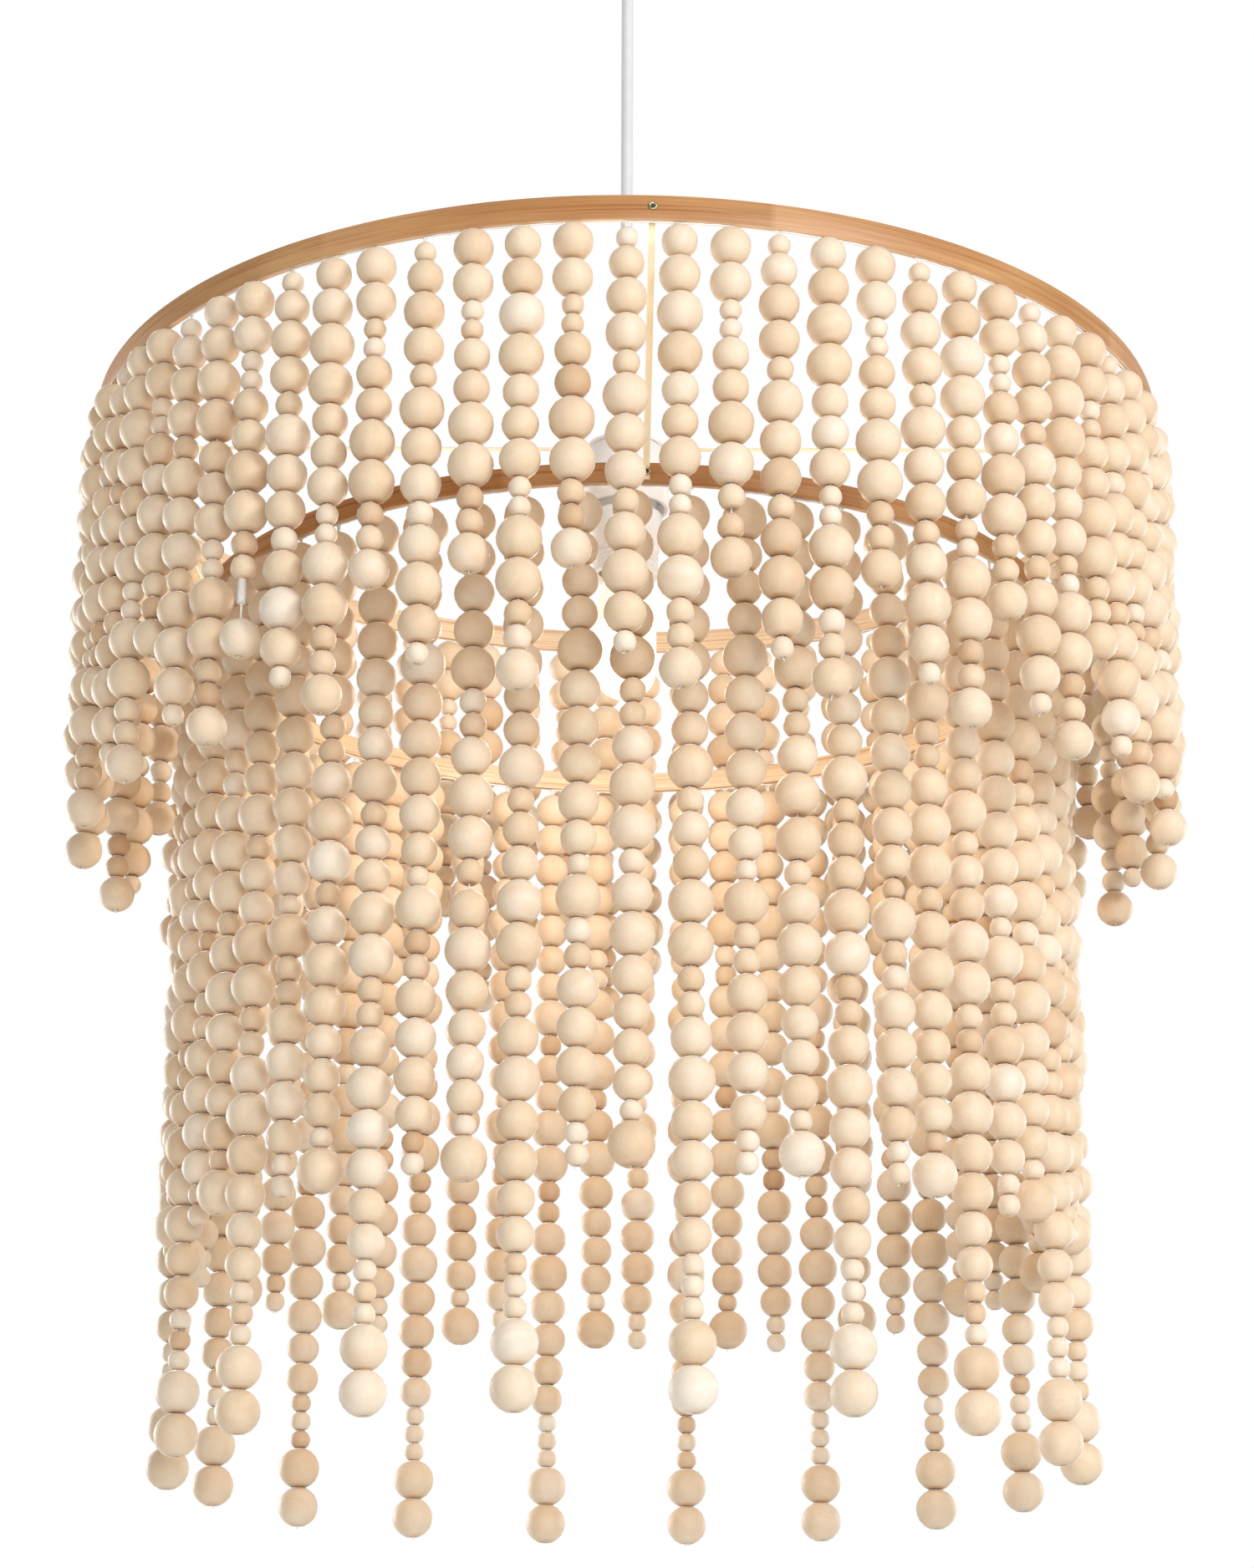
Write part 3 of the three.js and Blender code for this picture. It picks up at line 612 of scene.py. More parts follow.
def bead_wood():
    """Unvarnished turned wood: pale, each bead its own tone, with faint grain and a few pores.
    The tone also holds painted shade at each bead's ends and in its hole.
    """
    m = Nodes("bead_wood")
    place = m.attribute("place", "Vector")
    # The tone attribute holds each bead's own tone plus painted shade at its ends and hole
    base = m.ramp(m.attribute("tone", "Fac"), BEAD_TONES)
    fibres = m.noise(m.scaled(place, BEAD_FIBRES), detail=4.0, roughness=0.6)
    grain = m.mix(m.spread(fibres, (0.38, 0.72)), *BEAD_FIBRE_COLOURS)
    coloured = m.mix(BEAD_FIBRE_SHARE, base, grain, "MULTIPLY")
    rings = m.noise(m.scaled(place, BEAD_RINGS))
    growth = m.mix(m.spread(rings, (0.35, 0.7)), *BEAD_RING_COLOURS)
    coloured = m.mix(BEAD_RING_SHARE, coloured, growth, "MULTIPLY")
    pores = m.noise(m.scaled(place, BEAD_PORES), detail=1.0)
    m.colour(m.mix(m.spread(pores, (0.78, 0.84), (0.0, 0.5)), coloured, BEAD_PORE_COLOUR))
    m.roughness(m.spread(fibres, (0.3, 0.7), (0.5, 0.62)))
    m.bump(fibres, strength=0.06, distance=0.0003)
    m.set(Specular_IOR_Level=0.4, Sheen_Weight=1.0, Sheen_Roughness=0.2)
    return m.material


def bamboo():
    """A split bamboo strip: long fine fibres, dark streaks, and paler at its joints and cut faces.
    The cut faces also carry painted light: the bulb's glow on the inner face, light from below on the
    lower edge.
    """
    m = Nodes("bamboo")
    place = m.attribute("place", "Vector")
    fibres = m.noise(m.scaled(place, BAMBOO_FIBRES), detail=5.0, roughness=0.65)
    streaks = m.noise(m.scaled(place, BAMBOO_STREAKS))
    blotches = m.noise(m.scaled(place, BAMBOO_BLOTCHES))
    base = m.ramp(blotches, BAMBOO_TONES)
    sides = m.node("ShaderNodeSeparateXYZ")
    m.join(place, sides.inputs[0])
    joint = m.spread(m.attribute("tone", "Fac"), (0.45, 1.0), (0.0, 0.5))
    # Inner face paler: a cut face, and painted light from the bulb's glow
    inside = m.spread(sides.outputs["Z"], (0.4, 0.0))
    # Lower edge paler: a cut face, and painted light from below
    lit_underside = m.spread(sides.outputs["Y"], (0.35, 0.05))
    base = m.mix(joint, base, BAMBOO_JOINT_COLOUR)
    base = m.mix(inside, base, BAMBOO_INSIDE_LIT_COLOUR)
    base = m.mix(lit_underside, base, BAMBOO_UNDERSIDE_LIT_COLOUR)
    dark = m.mix(m.spread(fibres, (0.35, 0.7)), *BAMBOO_FIBRE_COLOURS)
    coloured = m.mix(BAMBOO_FIBRE_SHARE, base, dark, "MULTIPLY")
    lines = m.mix(m.spread(streaks, (0.55, 0.7)), *BAMBOO_STREAK_COLOURS)
    m.colour(m.mix(BAMBOO_STREAK_SHARE, coloured, lines, "MULTIPLY"))
    m.roughness(m.spread(fibres, (0.3, 0.7), (0.36, 0.5)))
    m.bump(fibres, strength=0.25, distance=0.0003)
    return m.material


def moulded(name, colour, roughness):
    """Moulded plastic or lacquer with a very fine uneven skin."""
    m = Nodes(name)
    place = m.attribute("place", "Vector")
    cloud = m.noise(place, MOULDED_CLOUDS)
    skin = m.noise(place, MOULDED_SKIN)
    m.colour(m.mix(m.spread(cloud, (0.35, 0.65)), colour, shaded(colour, MOULDED_SHADE_SHARES)))
    m.roughness(m.spread(skin, (0.3, 0.7), (roughness - 0.06, roughness + 0.08)))
    m.bump(skin, strength=0.06, distance=0.0002)
    return m.material


def metal(name, colour, roughness):
    """Plated metal, a little darker and duller where it is worn."""
    m = Nodes(name)
    place = m.attribute("place", "Vector")
    wear = m.noise(place, METAL_WEAR, detail=4.0)
    m.colour(m.mix(m.spread(wear, (0.4, 0.62)), colour, shaded(colour, WORN_METAL_SHARES)))
    m.roughness(m.spread(wear, (0.3, 0.7), (roughness - 0.08, roughness + 0.12)))
    m.set(Metallic=1.0)
    return m.material


def spun_thread():
    """White spun thread: fine twisted plies."""
    m = Nodes("thread")
    plies = m.noise(m.attribute("place", "Vector"), THREAD_PLIES)
    m.colour(m.mix(m.spread(plies, (0.35, 0.65)), *THREAD_COLOURS))
    m.roughness(m.spread(plies, (0.3, 0.7), (0.45, 0.65)))
    m.bump(plies, strength=0.3, distance=0.0002)
    return m.material


def lit_glass(name, strength):
    """Frosted glass in front of a burning lamp."""
    m = Nodes(name)
    cloud = m.noise(m.attribute("place", "Vector"), GLASS_CLOUDS)
    m.colour(m.mix(m.spread(cloud, (0.3, 0.7)), *GLASS_COLOURS))
    m.set(Roughness=0.25, Emission_Color=linear(*GLOW_COLOUR), Emission_Strength=strength)
    return m.material


WOOD = bead_wood()
BAMBOO = bamboo()
WHITE = moulded("white_plastic", WHITE_COLOUR, roughness=0.42)
FLEX = moulded("flex_sheath", FLEX_COLOUR, roughness=0.46)
CREAM = moulded("cream_lacquer", CREAM_COLOUR, roughness=0.36)
CERAMIC = moulded("contact_carrier", CERAMIC_COLOUR, roughness=0.6)
# Dark paint for the rivets' holes, standing in for the shade inside them
RIVET_HOLE_SHADE = moulded("rivet_hole_shade_paint", RIVET_HOLE_SHADE_COLOUR, roughness=0.6)
NICKEL = metal("nickel", NICKEL_COLOUR, roughness=0.34)
BRASS = metal("rivet", BRASS_COLOUR, roughness=0.32)
THREAD = spun_thread()
GLASS = lit_glass("lit_glass", BULB_GLOW)
NECK_GLASS = lit_glass("lit_neck", NECK_GLOW)


# Beads on their strands
def half_length(diameter):
    half = math.sqrt((diameter / 2) ** 2 - BORE_RADIUS ** 2)
    return half * BEAD_STRETCH_SHARE - BEAD_PLAY / 2


def bead_mesh(diameter, drilled):
    """One bead about its own middle, its thread upright. It is a little wider than it is long,
    with a flat at each end. A drilled one shows its hole. Painted shade darkens the flat ends
    where beads touch, the end hollows and the inside of a hole."""
    radius = diameter / 2 * BEAD_FULLNESS_SHARE
    segments, steps = SMALL_BEAD_STEPS if diameter < SMALL_BEAD else BEAD_STEPS
    first = math.acos(half_length(diameter) / radius)
    levels = [(radius * math.sin(t), radius * math.cos(t))
              for t in np.linspace(math.pi - first, first, steps + 1)]
    # Painted shade on the rings at the flat ends, where beads touch
    painted_shades = [PAINTED_CONTACT_SHADE] + [0.0] * (len(levels) - 2) + [PAINTED_CONTACT_SHADE]
    if drilled:
        low, high = levels[0][1], levels[-1][1]
        levels = [(BORE_RADIUS, low + BORE_RADIUS), (BORE_RADIUS, low)] + levels
        levels += [(BORE_RADIUS, high), (BORE_RADIUS, high - BORE_RADIUS)]
        painted_shades = [PAINTED_HOLE_SHADE, PAINTED_HOLE_EDGE_SHADE] + painted_shades + [PAINTED_HOLE_EDGE_SHADE, PAINTED_HOLE_SHADE]
    points = []
    for reach, height in levels:
        for k in range(segments):
            angle = 2 * math.pi * k / segments
            points.append((reach * math.cos(angle), reach * math.sin(angle), height))
    faces = bands(len(levels), segments)
    top = (len(levels) - 1) * segments
    # Painted shade also darkens the centre of each end hollow
    painted_shades = list(np.repeat(painted_shades, segments)) + [PAINTED_HOLE_SHADE, PAINTED_HOLE_SHADE]
    points += [(0, 0, levels[0][1] + END_HOLLOW), (0, 0, levels[-1][1] - END_HOLLOW)]
    for k in range(segments):
        j = (k + 1) % segments
        faces.append([len(points) - 2, j, k])
        faces.append([len(points) - 1, top + k, top + j])
    return np.array(points), faces, np.array(painted_shades)


BEADS = {(diameter, drilled): bead_mesh(diameter, drilled)
         for diameter in BEAD_DIAMETERS for drilled in (False, True)}


def spin(axis, angle):
    return np.array(Matrix.Rotation(angle, 3, Vector(axis)))


def random_turn():
    axis = rng.normal(size=3)
    return spin(axis / np.linalg.norm(axis), rng.uniform(0, math.pi))


def bead_tone(diameter, at_end):
    """Most beads are cream. Small ones are tan or nearly white, the latter at a strand's ends."""
    small = diameter < SMALL_BEAD
    tone = rng.normal(*CREAM_TONE)
    if small:
        tone = rng.normal(*TAN_TONE)
    luck = rng.random()
    if luck < PALE_SHARES[diameter] or (small and at_end):
        tone *= SMALL_PALE_SHARE if small else PALE_SHARE
    return min(max(tone, 0.0), 1.0)


def hang_beads(shape, recipe, top, sway, start, slip):
    """Strings one strand's beads under a point and returns the point under the last bead."""
    for index, diameter in enumerate(recipe):
        half = half_length(diameter)
        last = index == len(recipe) - 1
        if last:
            start += slip
        elif index and rng.random() < SLACK_SHARE:
            start += rng.uniform(*SLACK)
        depth = start + half
        drilled = last or index == 0
        points, faces, painted_shades = BEADS[diameter, drilled]
        lean = spin(along(rng.uniform(0, 360)), math.radians(rng.normal(0, BEAD_LEAN_DEG)))
        turn = lean @ spin((0, 0, 1), rng.uniform(0, 2 * math.pi))
        size = 1 + rng.normal(0, BEAD_SIZE_SHARE)
        offset = sway * depth + np.array([*rng.normal(0, BEAD_WANDER, 2), 0.0])
        placed = points @ turn.T * size + top + offset - (0, 0, depth)
        grain = points @ random_turn().T + rng.uniform(-GRAIN_REACH, GRAIN_REACH, 3)
        # The bead's own tone plus the painted shade at its ends and in its hole
        tone = np.minimum(painted_shades + bead_tone(diameter, drilled), DARKEST_TONE_WITH_SHADE)
        shape.add(placed, faces, grain, tone)
        start = depth + half + BEAD_PLAY
    return top + sway * start - (0, 0, start)


def slipped_thread(shape, last_bead, foot, slip):
    """The thread that shows above a slipped bead, bare at first and wound further up."""
    low = foot + (0, 0, 2 * half_length(last_bead) + SLIPPED_GAP)
    high = low + (0, 0, slip)
    tube(shape, [low, low + (SLIPPED_BOW, 0, slip / 2), high], THREAD_RADIUS * BARE_THREAD_SHARE)
    wound = [low + (0, 0, slip * share) for share in WOUND_FROM_SHARES]
    tube(shape, wound, THREAD_RADIUS * WOUND_THREAD_SHARE)


def thread_strand(shape, top, foot, bearing, drop):
    """Thread legs over the first bead, and the knot with its cut ends under the last."""
    first_bead = top - (0, 0, drop)
    middle = (top + foot) / 2 + (0, 0, THREAD_RISE)
    end = foot + (0, 0, THREAD_IN_LAST_BEAD)
    tube(shape, [first_bead, middle, end], THREAD_RADIUS, THREAD_SIDES)
    under = first_bead - (0, 0, LEG_DEPTH)
    for side in (-1, 1):
        start = top + along(bearing) * side * rng.uniform(*LEG_SPREAD) - (0, 0, LEG_DROP)
        bow = (start + under) / 2 + outward(bearing) * LEG_BOW
        tube(shape, [start, bow, under], THREAD_RADIUS)
    knot = foot + (0, 0, KNOT_RISE)
    turned(shape, KNOT, KNOT_SIDES, knot, closed=False)
    for _ in range(rng.choice(TUFT_COUNTS)):
        lean = outward(rng.uniform(0, 360)) * rng.uniform(*TUFT_LEAN)
        length = rng.uniform(*TUFT_LENGTH)
        out_share, down_share = TUFT_BEND_SHARES
        middle = knot + lean * out_share - (0, 0, length * down_share)
        tuft = [knot, middle, knot + lean - (0, 0, length)]
        tube(shape, tuft, THREAD_RADIUS * TUFT_SHARE, THREAD_SIDES)


def lace(shape, radius, bearings, height):
    """The lacing thread along the hoop's lower edge, with a lashing over every strand."""
    first, last = bearings[0], bearings[-1]
    steps = max(2, int((last - first) * LACE_STEPS_PER_DEG))
    route = []
    for bearing in np.linspace(first, last, steps + 1):
        wave = outward(bearing) * (radius + rng.normal(0, LACE_WANDER))
        route.append(wave + (0, 0, height - LACE_DROP + rng.normal(0, LACE_RISE_WANDER)))
    tube(shape, route, THREAD_RADIUS)
    for bearing in bearings:
        for _ in range(LASHINGS):
            around = bearing + rng.normal(0, LASHING_WANDER_DEG)
            rise = height - LASHING_DROP + rng.normal(0, LASHING_RISE_WANDER)
            spot = outward(around) * radius + (0, 0, rise)
            half = along(around) * rng.uniform(*LASHING_HALF)
            lashing = [spot - half, spot, spot + half]
            tube(shape, lashing, THREAD_RADIUS * LASHING_SHARE, THREAD_SIDES)


def hang_tier(name, sets, count, first_deg, hoop_radius, hoop_bottom, drops, spread):
    """All strands of one tier, a piece of beads and a piece of threads for each laced set."""
    pitch = 360 / count
    radius = hoop_radius - STRAND_INSET
    shift = math.degrees(spread / radius)
    place = 0
    for number, recipes in enumerate(sets, 1):
        beads, threads = Shape(), Shape()
        bearings = [first_deg + (place + k) * pitch + rng.uniform(-shift, shift)
                    for k in range(len(recipes))]
        for k, (recipe, bearing) in enumerate(zip(recipes, bearings)):
            top = outward(bearing) * radius + (0, 0, hoop_bottom)
            sway = np.array([*rng.normal(0, STRAND_LEAN_SHARE, 2), 0.0])
            drop = rng.uniform(*drops)
            if recipe[0] < SMALL_BEAD:
                drop += SMALL_FIRST_DROP
            slip = SLIPPED_BEAD_DROP if (name, place + k) == SLIPPED_STRAND else 0
            foot = hang_beads(beads, recipe, top, sway, drop, slip)
            if slip:
                slipped_thread(threads, recipe[-1], foot, slip)
            thread_strand(threads, top, foot, bearing, drop)
        lace(threads, radius, bearings, hoop_bottom)
        node = f"{name}_strands_{number:02d}"
        beads.build(f"{name}_beads_{number:02d}", WOOD, node, node, slot="bead_wood")
        threads.build(f"{name}_threads_{number:02d}", THREAD, node)
        place += len(recipes)


# Hoops of bent bamboo
def strip_section(thickness, height, edge):
    """A flat strip's section with softened edges, as (reach, rise) from its low inner corner."""
    corners = ((thickness, 0, -90), (thickness, height, 0), (0, height, 90), (0, 0, 180))
    points = []
    for reach, rise, start in corners:
        middle = (reach - math.copysign(edge, reach - thickness / 2),
                  rise - math.copysign(edge, rise - height / 2))
        for angle in np.radians((start, start + 45, start + 90)):
            points.append((middle[0] + edge * math.cos(angle), middle[1] + edge * math.sin(angle)))
    return points


def bent_strip(shape, inner, bottom, section, bearings, closed, first_joint, thinning=None):
    """Sweeps a section round the axis. The place runs along the strip, then up, then through it.
    The tone falls from one joint of the bamboo to the next."""
    points, place, tone = [], [], []
    for index, bearing in enumerate(bearings):
        cut = 0 if thinning is None else thinning[index]
        for reach, height in section:
            radius = inner + reach - (cut if reach > STRIP / 2 else 0)
            points.append(outward(bearing) * radius + (0, 0, bottom + height))
            place.append((math.radians(bearing) * inner, height, reach))
            tone.append(1 - (bearing - first_joint) / JOINT_PITCH_DEG % 1)
    wide = len(section)
    rings = len(bearings)
    faces = [[a, d, c, b] for a, b, c, d in bands(rings, wide, closed)]
    if not closed:
        faces.append(list(range(wide)))
        faces.append([(rings - 1) * wide + k for k in range(wide)][::-1])
    shape.add(points, faces, place, tone)


def hoop(name, radius, top, height, lap_start, first_joint):
    """One hoop, and the end of the strip that laps over its start and thins out."""
    shape = Shape()
    section = strip_section(STRIP, height, STRIP_EDGE)
    all_round = lap_start + np.arange(HOOP_STEPS) * 360 / HOOP_STEPS
    bent_strip(shape, radius - STRIP, top - height, section, all_round, True, first_joint)
    lap = np.linspace(lap_start, lap_start + LAP_SPAN_DEG, LAP_STEPS + 1)
    thinning = np.clip(LAP_THINNING - (lap - lap_start) * LAP_TAPER, 0, LAP_THINNING)
    bent_strip(shape, radius + LAP_SEAT, top - height, section, lap, False, first_joint, thinning)
    shape.build(f"{name}_bamboo", BAMBOO, "lamp", f"{name}_hoop", slot="bamboo")


# Wire spider and hanger strips
def spider():
    """A wire ring on the dome's shoulder, and four arms that bend down inside the upper hoop.
    The ring is the arms' cream wire, drawn in white plastic as painted light for the glare on it.
    """
    lit_ring, shape = Shape(), Shape()
    centre = np.array([0, 0, SPIDER_HEIGHT])
    ring = [outward(bearing) * SPIDER_RING + centre
            for bearing in np.linspace(0, 360, SPIDER_RING_STEPS + 1)]
    tube(lit_ring, ring, SPIDER_WIRE / 2, SPIDER_SIDES)
    reach = OUTER_RADIUS - STRIP - TOUCH_GAP - SPIDER_WIRE / 2
    bend = reach - SPIDER_BEND
    side_view = [(SPIDER_RING + (bend - SPIDER_RING) * share, 0)
                 for share in np.linspace(0, 1, SPIDER_ARM_POINTS)]
    for angle in np.radians(SPIDER_BEND_DEG):
        side_view.append((bend + SPIDER_BEND * math.sin(angle),
                          SPIDER_BEND * (1 - math.cos(angle))))
    side_view.append((reach, SPIDER_TIP_DROP))
    for bearing in SPIDER_ARMS_DEG:
        route = [outward(bearing) * out + centre - (0, 0, drop) for out, drop in side_view]
        tube(shape, route, SPIDER_WIRE / 2, SPIDER_SIDES)
    shape.build("spider_arms", CREAM, "lamp", "spider", slot="cream_wire")
    # The cream wire ring in white plastic: painted light for the glare that washes it out
    lit_ring.build("spider_ring", WHITE, "lamp", slot="white_plastic")


def rivet(shape, dark, radius, bearing, height):
    """A small hollow rivet whose head lies flat on a hoop, with a dark disc of painted shade in its
    hole.
    """
    angles = np.arange(RIVET_SIDES) * 2 * math.pi / RIVET_SIDES
    out, side, up = outward(bearing), along(bearing), np.array([0, 0, 1.0])
    spokes = [side * math.cos(a) + up * math.sin(a) for a in angles]
    centre = out * radius + up * height
    points = [centre + out * rise + spoke * reach for reach, rise in RIVET for spoke in spokes]
    shape.add(points, bands(len(RIVET), RIVET_SIDES))
    # A dark disc set in the hole, painted shade for its shadowed inside
    shade_disc = [centre + out * RIVET_HOLE_RISE + spoke * RIVET_HOLE_RADIUS for spoke in spokes]
    dark.add(shade_disc, [list(range(RIVET_SIDES))])


def hanger(number, bearing, top_face, low_face):
    """A flat strip from inside the upper hoop down and in to the outside of the lower one."""
    top = HOOP_TOP - HANGER_INSET
    tab = top - HANGER_TAB
    route = [(top_face, top), (top_face, tab + HANGER_TOP_BEND_RISE),
             (top_face - HANGER_TOP_BEND[0], tab - HANGER_TOP_BEND[1]),
             (low_face + HANGER_LOW_BEND[0], INNER_TOP + HANGER_LOW_BEND[1]),
             (low_face, INNER_TOP - HANGER_LOW_BEND_DROP), (low_face, INNER_TOP - HANGER_TAB)]
    out, side = outward(bearing), along(bearing)
    points = []
    for reach, height in route:
        upper = height > INNER_TOP + TIER_DROP / 2
        near, far = (-HANGER_THICKNESS, 0) if upper else (0, HANGER_THICKNESS)
        for across, depth in ((-0.5, near), (0.5, near), (0.5, far), (-0.5, far)):
            place = out * (reach + depth) + side * across * HANGER_WIDTH
            points.append(place + (0, 0, height))
    last = (len(route) - 1) * 4
    faces = [face[::-1] for face in bands(len(route), 4)]
    faces += [[0, 1, 2, 3], [last + 3, last + 2, last + 1, last]]
    shape = Shape()
    shape.add(points, faces, smooth=False)
    shape.build(f"hanger_strip_{number}", CREAM, "lamp", f"hanger_{number}", slot="cream_wire")


def hangers():
    """The three hanger strips, each halfway between two strands, with a rivet at both ends."""
    top_face = OUTER_RADIUS - STRIP - TOUCH_GAP
    low_face = INNER_RADIUS + TOUCH_GAP
    rivets, hole_shades = Shape(), Shape()
    for number, gap in enumerate(HANGER_GAPS, 1):
        bearing = OUTER_FIRST_DEG + (gap + 0.5) * 360 / OUTER_STRANDS
        hanger(number, bearing, top_face, low_face)
        rivet(rivets, hole_shades, OUTER_RADIUS, bearing, HOOP_TOP - OUTER_RIVET_DROP)
        rivet(rivets, hole_shades, low_face + HANGER_THICKNESS, bearing, INNER_TOP - INNER_RIVET_DROP)
    rivets.build("rivets", BRASS, "lamp", slot="plated_metal")
    # The rivets' holes as dark discs of painted shade
    hole_shades.build("rivet_hole_shades", RIVET_HOLE_SHADE, "lamp")


# Flex, lampholder, bulb and ceiling cup
def flex():
    """The white flex, taut from the ceiling cup to the lampholder's collar."""
    shape = Shape()
    route = [(0, 0, height) for height in np.linspace(FLEX_BOTTOM, FLEX_TOP, FLEX_POINTS)]
    tube(shape, route, FLEX_DIAMETER / 2, FLEX_SIDES)
    piece = shape.build("flex_sheath", FLEX, "lamp", "flex", slot="white_flex")


def holder_cap():
    """The domed cap, open below, with the collar that takes the flex."""
    shape = Shape()
    inside = DOME_RADIUS - DOME_WALL
    profile = [(inside, CAP_RIM), (DOME_RADIUS - DOME_EDGE, CAP_RIM)]
    profile += [(DOME_RADIUS, CAP_RIM + DOME_EDGE)]
    profile += arc(DOME_CENTRE, DOME_RADIUS, *DOME_OUTSIDE_ARC)
    profile += moved(COLLAR, 0, COLLAR_TOP) + [(FLEX_DIAMETER / 2 + TOUCH_GAP, COLLAR_TOP)]
    profile += arc(DOME_CENTRE, inside, *DOME_INSIDE_ARC)
    turned(shape, profile, HOLDER_SIDES)
    shape.build("holder_cap", WHITE, "lamp", "lampholder_cap", slot="white_plastic")


def holder_barrel():
    """The barrel: a mouth with a coarse thread, a swelling body, and a flange inside the cap."""
    shape = Shape()
    lip = ((-BARREL_EDGE, 0), (0, BARREL_EDGE), (0, BARREL_LIP))
    profile = [(BORE, BARREL_MOUTH)] + moved(lip, BARREL_MOUTH_RADIUS, BARREL_MOUTH)
    for turn in range(BARREL_TURNS):
        low = BARREL_MOUTH + BARREL_LIP + turn * BARREL_PITCH
        profile += moved(BARREL_THREAD, BARREL_MOUTH_RADIUS, low)
    profile += moved(BARREL_BODY, BARREL_MOUTH_RADIUS, BARREL_MOUTH)
    shoulder = BARREL_MOUTH + BARREL_SHOULDER
    top = CAP_RIM + BARREL_IN_CAP
    flange = DOME_RADIUS - DOME_WALL - TOUCH_GAP
    profile += [(BARREL_TOP_RADIUS, shoulder - BARREL_EDGE),
                (BARREL_TOP_RADIUS - BARREL_EDGE, shoulder), (BARREL_NECK_RADIUS, shoulder),
                (BARREL_NECK_RADIUS, top - BARREL_FLANGE), (flange, top - BARREL_FLANGE),
                (flange, top), (BORE, top)]
    turned(shape, profile, HOLDER_SIDES)
    shape.build("holder_barrel", WHITE, "lamp", "lampholder_barrel", slot="white_plastic")


def holder_shell():
    """The screw shell, ridged inside."""
    shape = Shape()
    outer = BORE - TOUCH_GAP
    rise = (SHELL_TOP - SHELL_BOTTOM) / SHELL_RINGS
    profile = [(outer, SHELL_BOTTOM), (outer, SHELL_TOP)]
    profile += [(outer - SHELL_WALL - SHELL_RIDGE * (k % 2), SHELL_TOP - k * rise)
                for k in range(SHELL_RINGS + 1)]
    turned(shape, profile, SHELL_SIDES)
    shape.build("holder_shell", NICKEL, "lamp", "screw_shell", slot="plated_metal")


def holder_carrier():
    """The contact carrier on the shell, with the contact under it."""
    shape = Shape()
    outer = BORE - TOUCH_GAP
    bottom = SHELL_TOP + TOUCH_GAP
    top = bottom + CARRIER_HEIGHT
    profile = moved(CONTACT, 0, bottom) + [(outer, bottom), (outer, top), (0, top)]
    turned(shape, profile, CARRIER_SIDES, closed=False)
    shape.build("holder_carrier", CERAMIC, "lamp", "contact_carrier", slot="ceramic_carrier")


def bulb_cap():
    """The bulb's screw cap, with its rolled thread and the contact at its tip."""
    shape = Shape()
    profile = moved(BULB_CAP_FOOT, 0, BULB_CAP_BOTTOM)
    for turn in range(BULB_CAP_TURNS):
        low = BULB_CAP_BOTTOM + turn * BULB_CAP_PITCH
        profile += [(radius, low + share * BULB_CAP_PITCH) for radius, share in BULB_THREAD_SHARES]
    profile += moved(BULB_CAP_CROWN, 0, BULB_CAP_TOP) + moved(BULB_CONTACT, 0, BULB_TIP)
    turned(shape, profile, BULB_SIDES, closed=False)
    shape.build("bulb_screw_cap", NICKEL, "bulb", "bulb_cap", slot="plated_metal")


def bulb_glass():
    """The slim glass body, round below, and the tapered neck that goes into the cap."""
    neck = BULB_CAP_BOTTOM - TOUCH_GAP
    shoulder = neck - NECK_LENGTH
    body = Shape()
    profile = arc(shoulder - BODY_LENGTH, BULB_RADIUS, *BODY_END_ARC)
    profile[0] = (0, profile[0][1])
    turned(body, profile + moved(BODY_TOP, 0, shoulder), BULB_SIDES, closed=False)
    envelope = body.build("bulb_envelope", GLASS, "bulb", "bulb_glass", slot="bulb_glass")
    envelope.visible_shadow = False
    collar = Shape()
    profile = moved(NECK, 0, shoulder) + [(NECK_RADIUS, neck), (0, neck)]
    turned(collar, profile, BULB_SIDES, closed=False)
    collar.build("bulb_collar", NECK_GLASS, "bulb")


def ceiling_cup():
    """The cup against the ceiling, with a socket in its floor for the ball."""
    shape = Shape()
    socket_top = BALL_HEIGHT + SOCKET_ROOM
    floor_top = -CUP_HEIGHT + CUP_FLOOR
    profile = [(0, socket_top), (SOCKET_RADIUS, socket_top), (SOCKET_RADIUS, floor_top),
               (CUP_HOLE, floor_top), (CUP_HOLE, -CUP_HEIGHT + CUP_HOLE_EDGE),
               (CUP_HOLE + CUP_HOLE_EDGE, -CUP_HEIGHT)]
    edge = arc(-CUP_HEIGHT + CUP_EDGE, CUP_EDGE, *CUP_EDGE_ARC)
    profile += moved(edge, CUP_RADIUS - CUP_EDGE, 0)
    profile += [(CUP_RADIUS, -CUP_CHAMFER), (CUP_RADIUS - CUP_CHAMFER, 0), (0, 0)]
    turned(shape, profile, CUP_SIDES, closed=False)
    shape.build("cup_shell", WHITE, "ceiling", "ceiling_cup", slot="white_plastic")


def cord_grip():
    """The ball that grips the flex and lets it sway."""
    shape = Shape()
    profile = arc(BALL_HEIGHT, BALL_RADIUS, *BALL_ARC)
    profile[0] = (0, profile[0][1])
    turned(shape, profile + [(0, profile[-1][1])], BALL_SIDES, closed=False)
    shape.build("cord_grip_ball", WHITE, "grip", "cord_grip", slot="white_plastic")


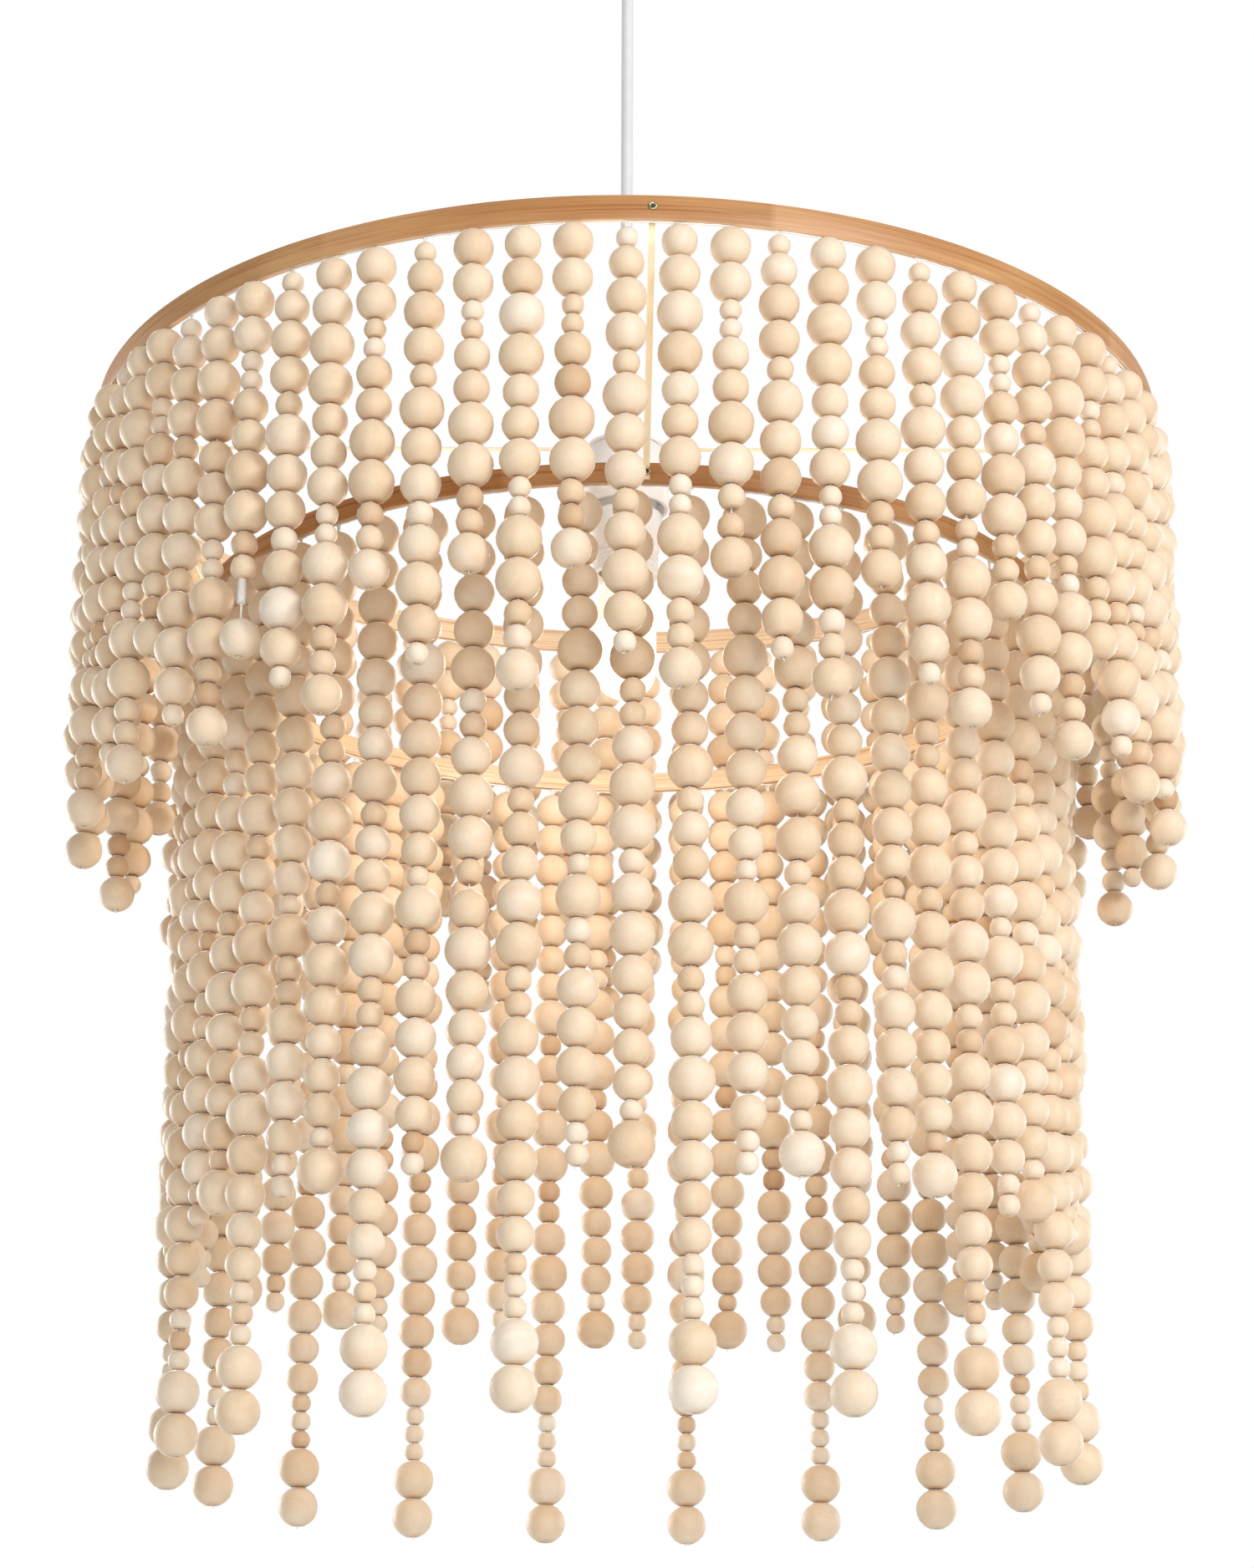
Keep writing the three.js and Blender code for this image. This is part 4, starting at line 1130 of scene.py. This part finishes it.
hang_tier("outer", OUTER_SETS, OUTER_STRANDS, OUTER_FIRST_DEG, OUTER_RADIUS,
          HOOP_TOP - OUTER_HEIGHT, OUTER_DROPS, OUTER_SPREAD)
hang_tier("inner", INNER_SETS, INNER_STRANDS, INNER_FIRST_DEG, INNER_RADIUS,
          INNER_TOP - INNER_HEIGHT, INNER_DROPS, INNER_SPREAD)
hoop("outer", OUTER_RADIUS, HOOP_TOP, OUTER_HEIGHT, OUTER_LAP_DEG, OUTER_JOINT_DEG)
hoop("inner", INNER_RADIUS, INNER_TOP, INNER_HEIGHT, INNER_LAP_DEG, INNER_JOINT_DEG)
for make in (spider, hangers, ceiling_cup, cord_grip, flex, holder_cap, holder_barrel,
             holder_shell, holder_carrier, bulb_cap, bulb_glass):
    make()


# Studio: a white room, a key from the front right, a lower front light and two rims from behind
def white_room():
    """Soft light from all round, and pure white where the camera sees past the lamp."""
    world = bpy.data.worlds.new("studio")
    bpy.context.scene.world = world
    world.use_nodes = True
    room = world.node_tree
    fill = room.nodes["Background"]
    fill.inputs["Color"].default_value = FILL_TINT
    fill.inputs["Strength"].default_value = FILL_STRENGTH
    seen = room.nodes.new("ShaderNodeBackground")
    seen.inputs["Color"].default_value = WHITE_ROOM
    path = room.nodes.new("ShaderNodeLightPath")
    either = room.nodes.new("ShaderNodeMixShader")
    room.links.new(path.outputs["Is Camera Ray"], either.inputs[0])
    room.links.new(fill.outputs[0], either.inputs[1])
    room.links.new(seen.outputs[0], either.inputs[2])
    room.links.new(either.outputs[0], room.nodes["World Output"].inputs["Surface"])


def area_light(name, place, aim, size, energy):
    data = bpy.data.lights.new(name, "AREA")
    data.shape = "SQUARE"
    data.size = size
    data.energy = energy
    light = bpy.data.objects.new(name, data)
    light.location = place
    light.visible_camera = False
    light.rotation_euler = (Vector(aim) - Vector(place)).to_track_quat("-Z", "Y").to_euler()
    bpy.context.collection.objects.link(light)


def bulb_light():
    """The lamp's own warm light, inside the glass."""
    data = bpy.data.lights.new("bulb_light", "POINT")
    data.energy = BULB_LIGHT
    data.color = BULB_LIGHT_TINT
    data.shadow_soft_size = BULB_LIGHT_RADIUS
    light = bpy.data.objects.new("bulb_light", data)
    light.location = (0, 0, (BULB_CAP_BOTTOM - BULB_LIGHT_DROP) * MM)
    light.visible_camera = False
    bpy.context.collection.objects.link(light)


def pale_floor():
    mesh = bpy.data.meshes.new("floor")
    corners = [(x * FLOOR_HALF, y * FLOOR_HALF, FLOOR_HEIGHT)
               for x, y in ((-1, -1), (1, -1), (1, 1), (-1, 1))]
    mesh.from_pydata(corners, [], [(0, 1, 2, 3)])
    pale = Nodes("pale_floor")
    pale.set(Base_Color=FLOOR_GREY, Roughness=FLOOR_ROUGHNESS)
    mesh.materials.append(pale.material)
    floor = bpy.data.objects.new("floor", mesh)
    bpy.context.collection.objects.link(floor)


white_room()
for light in AREA_LIGHTS:
    area_light(*light)
bulb_light()
pale_floor()
bpy.context.scene.view_settings.view_transform = "Standard"
bpy.context.scene.view_settings.look = "None"
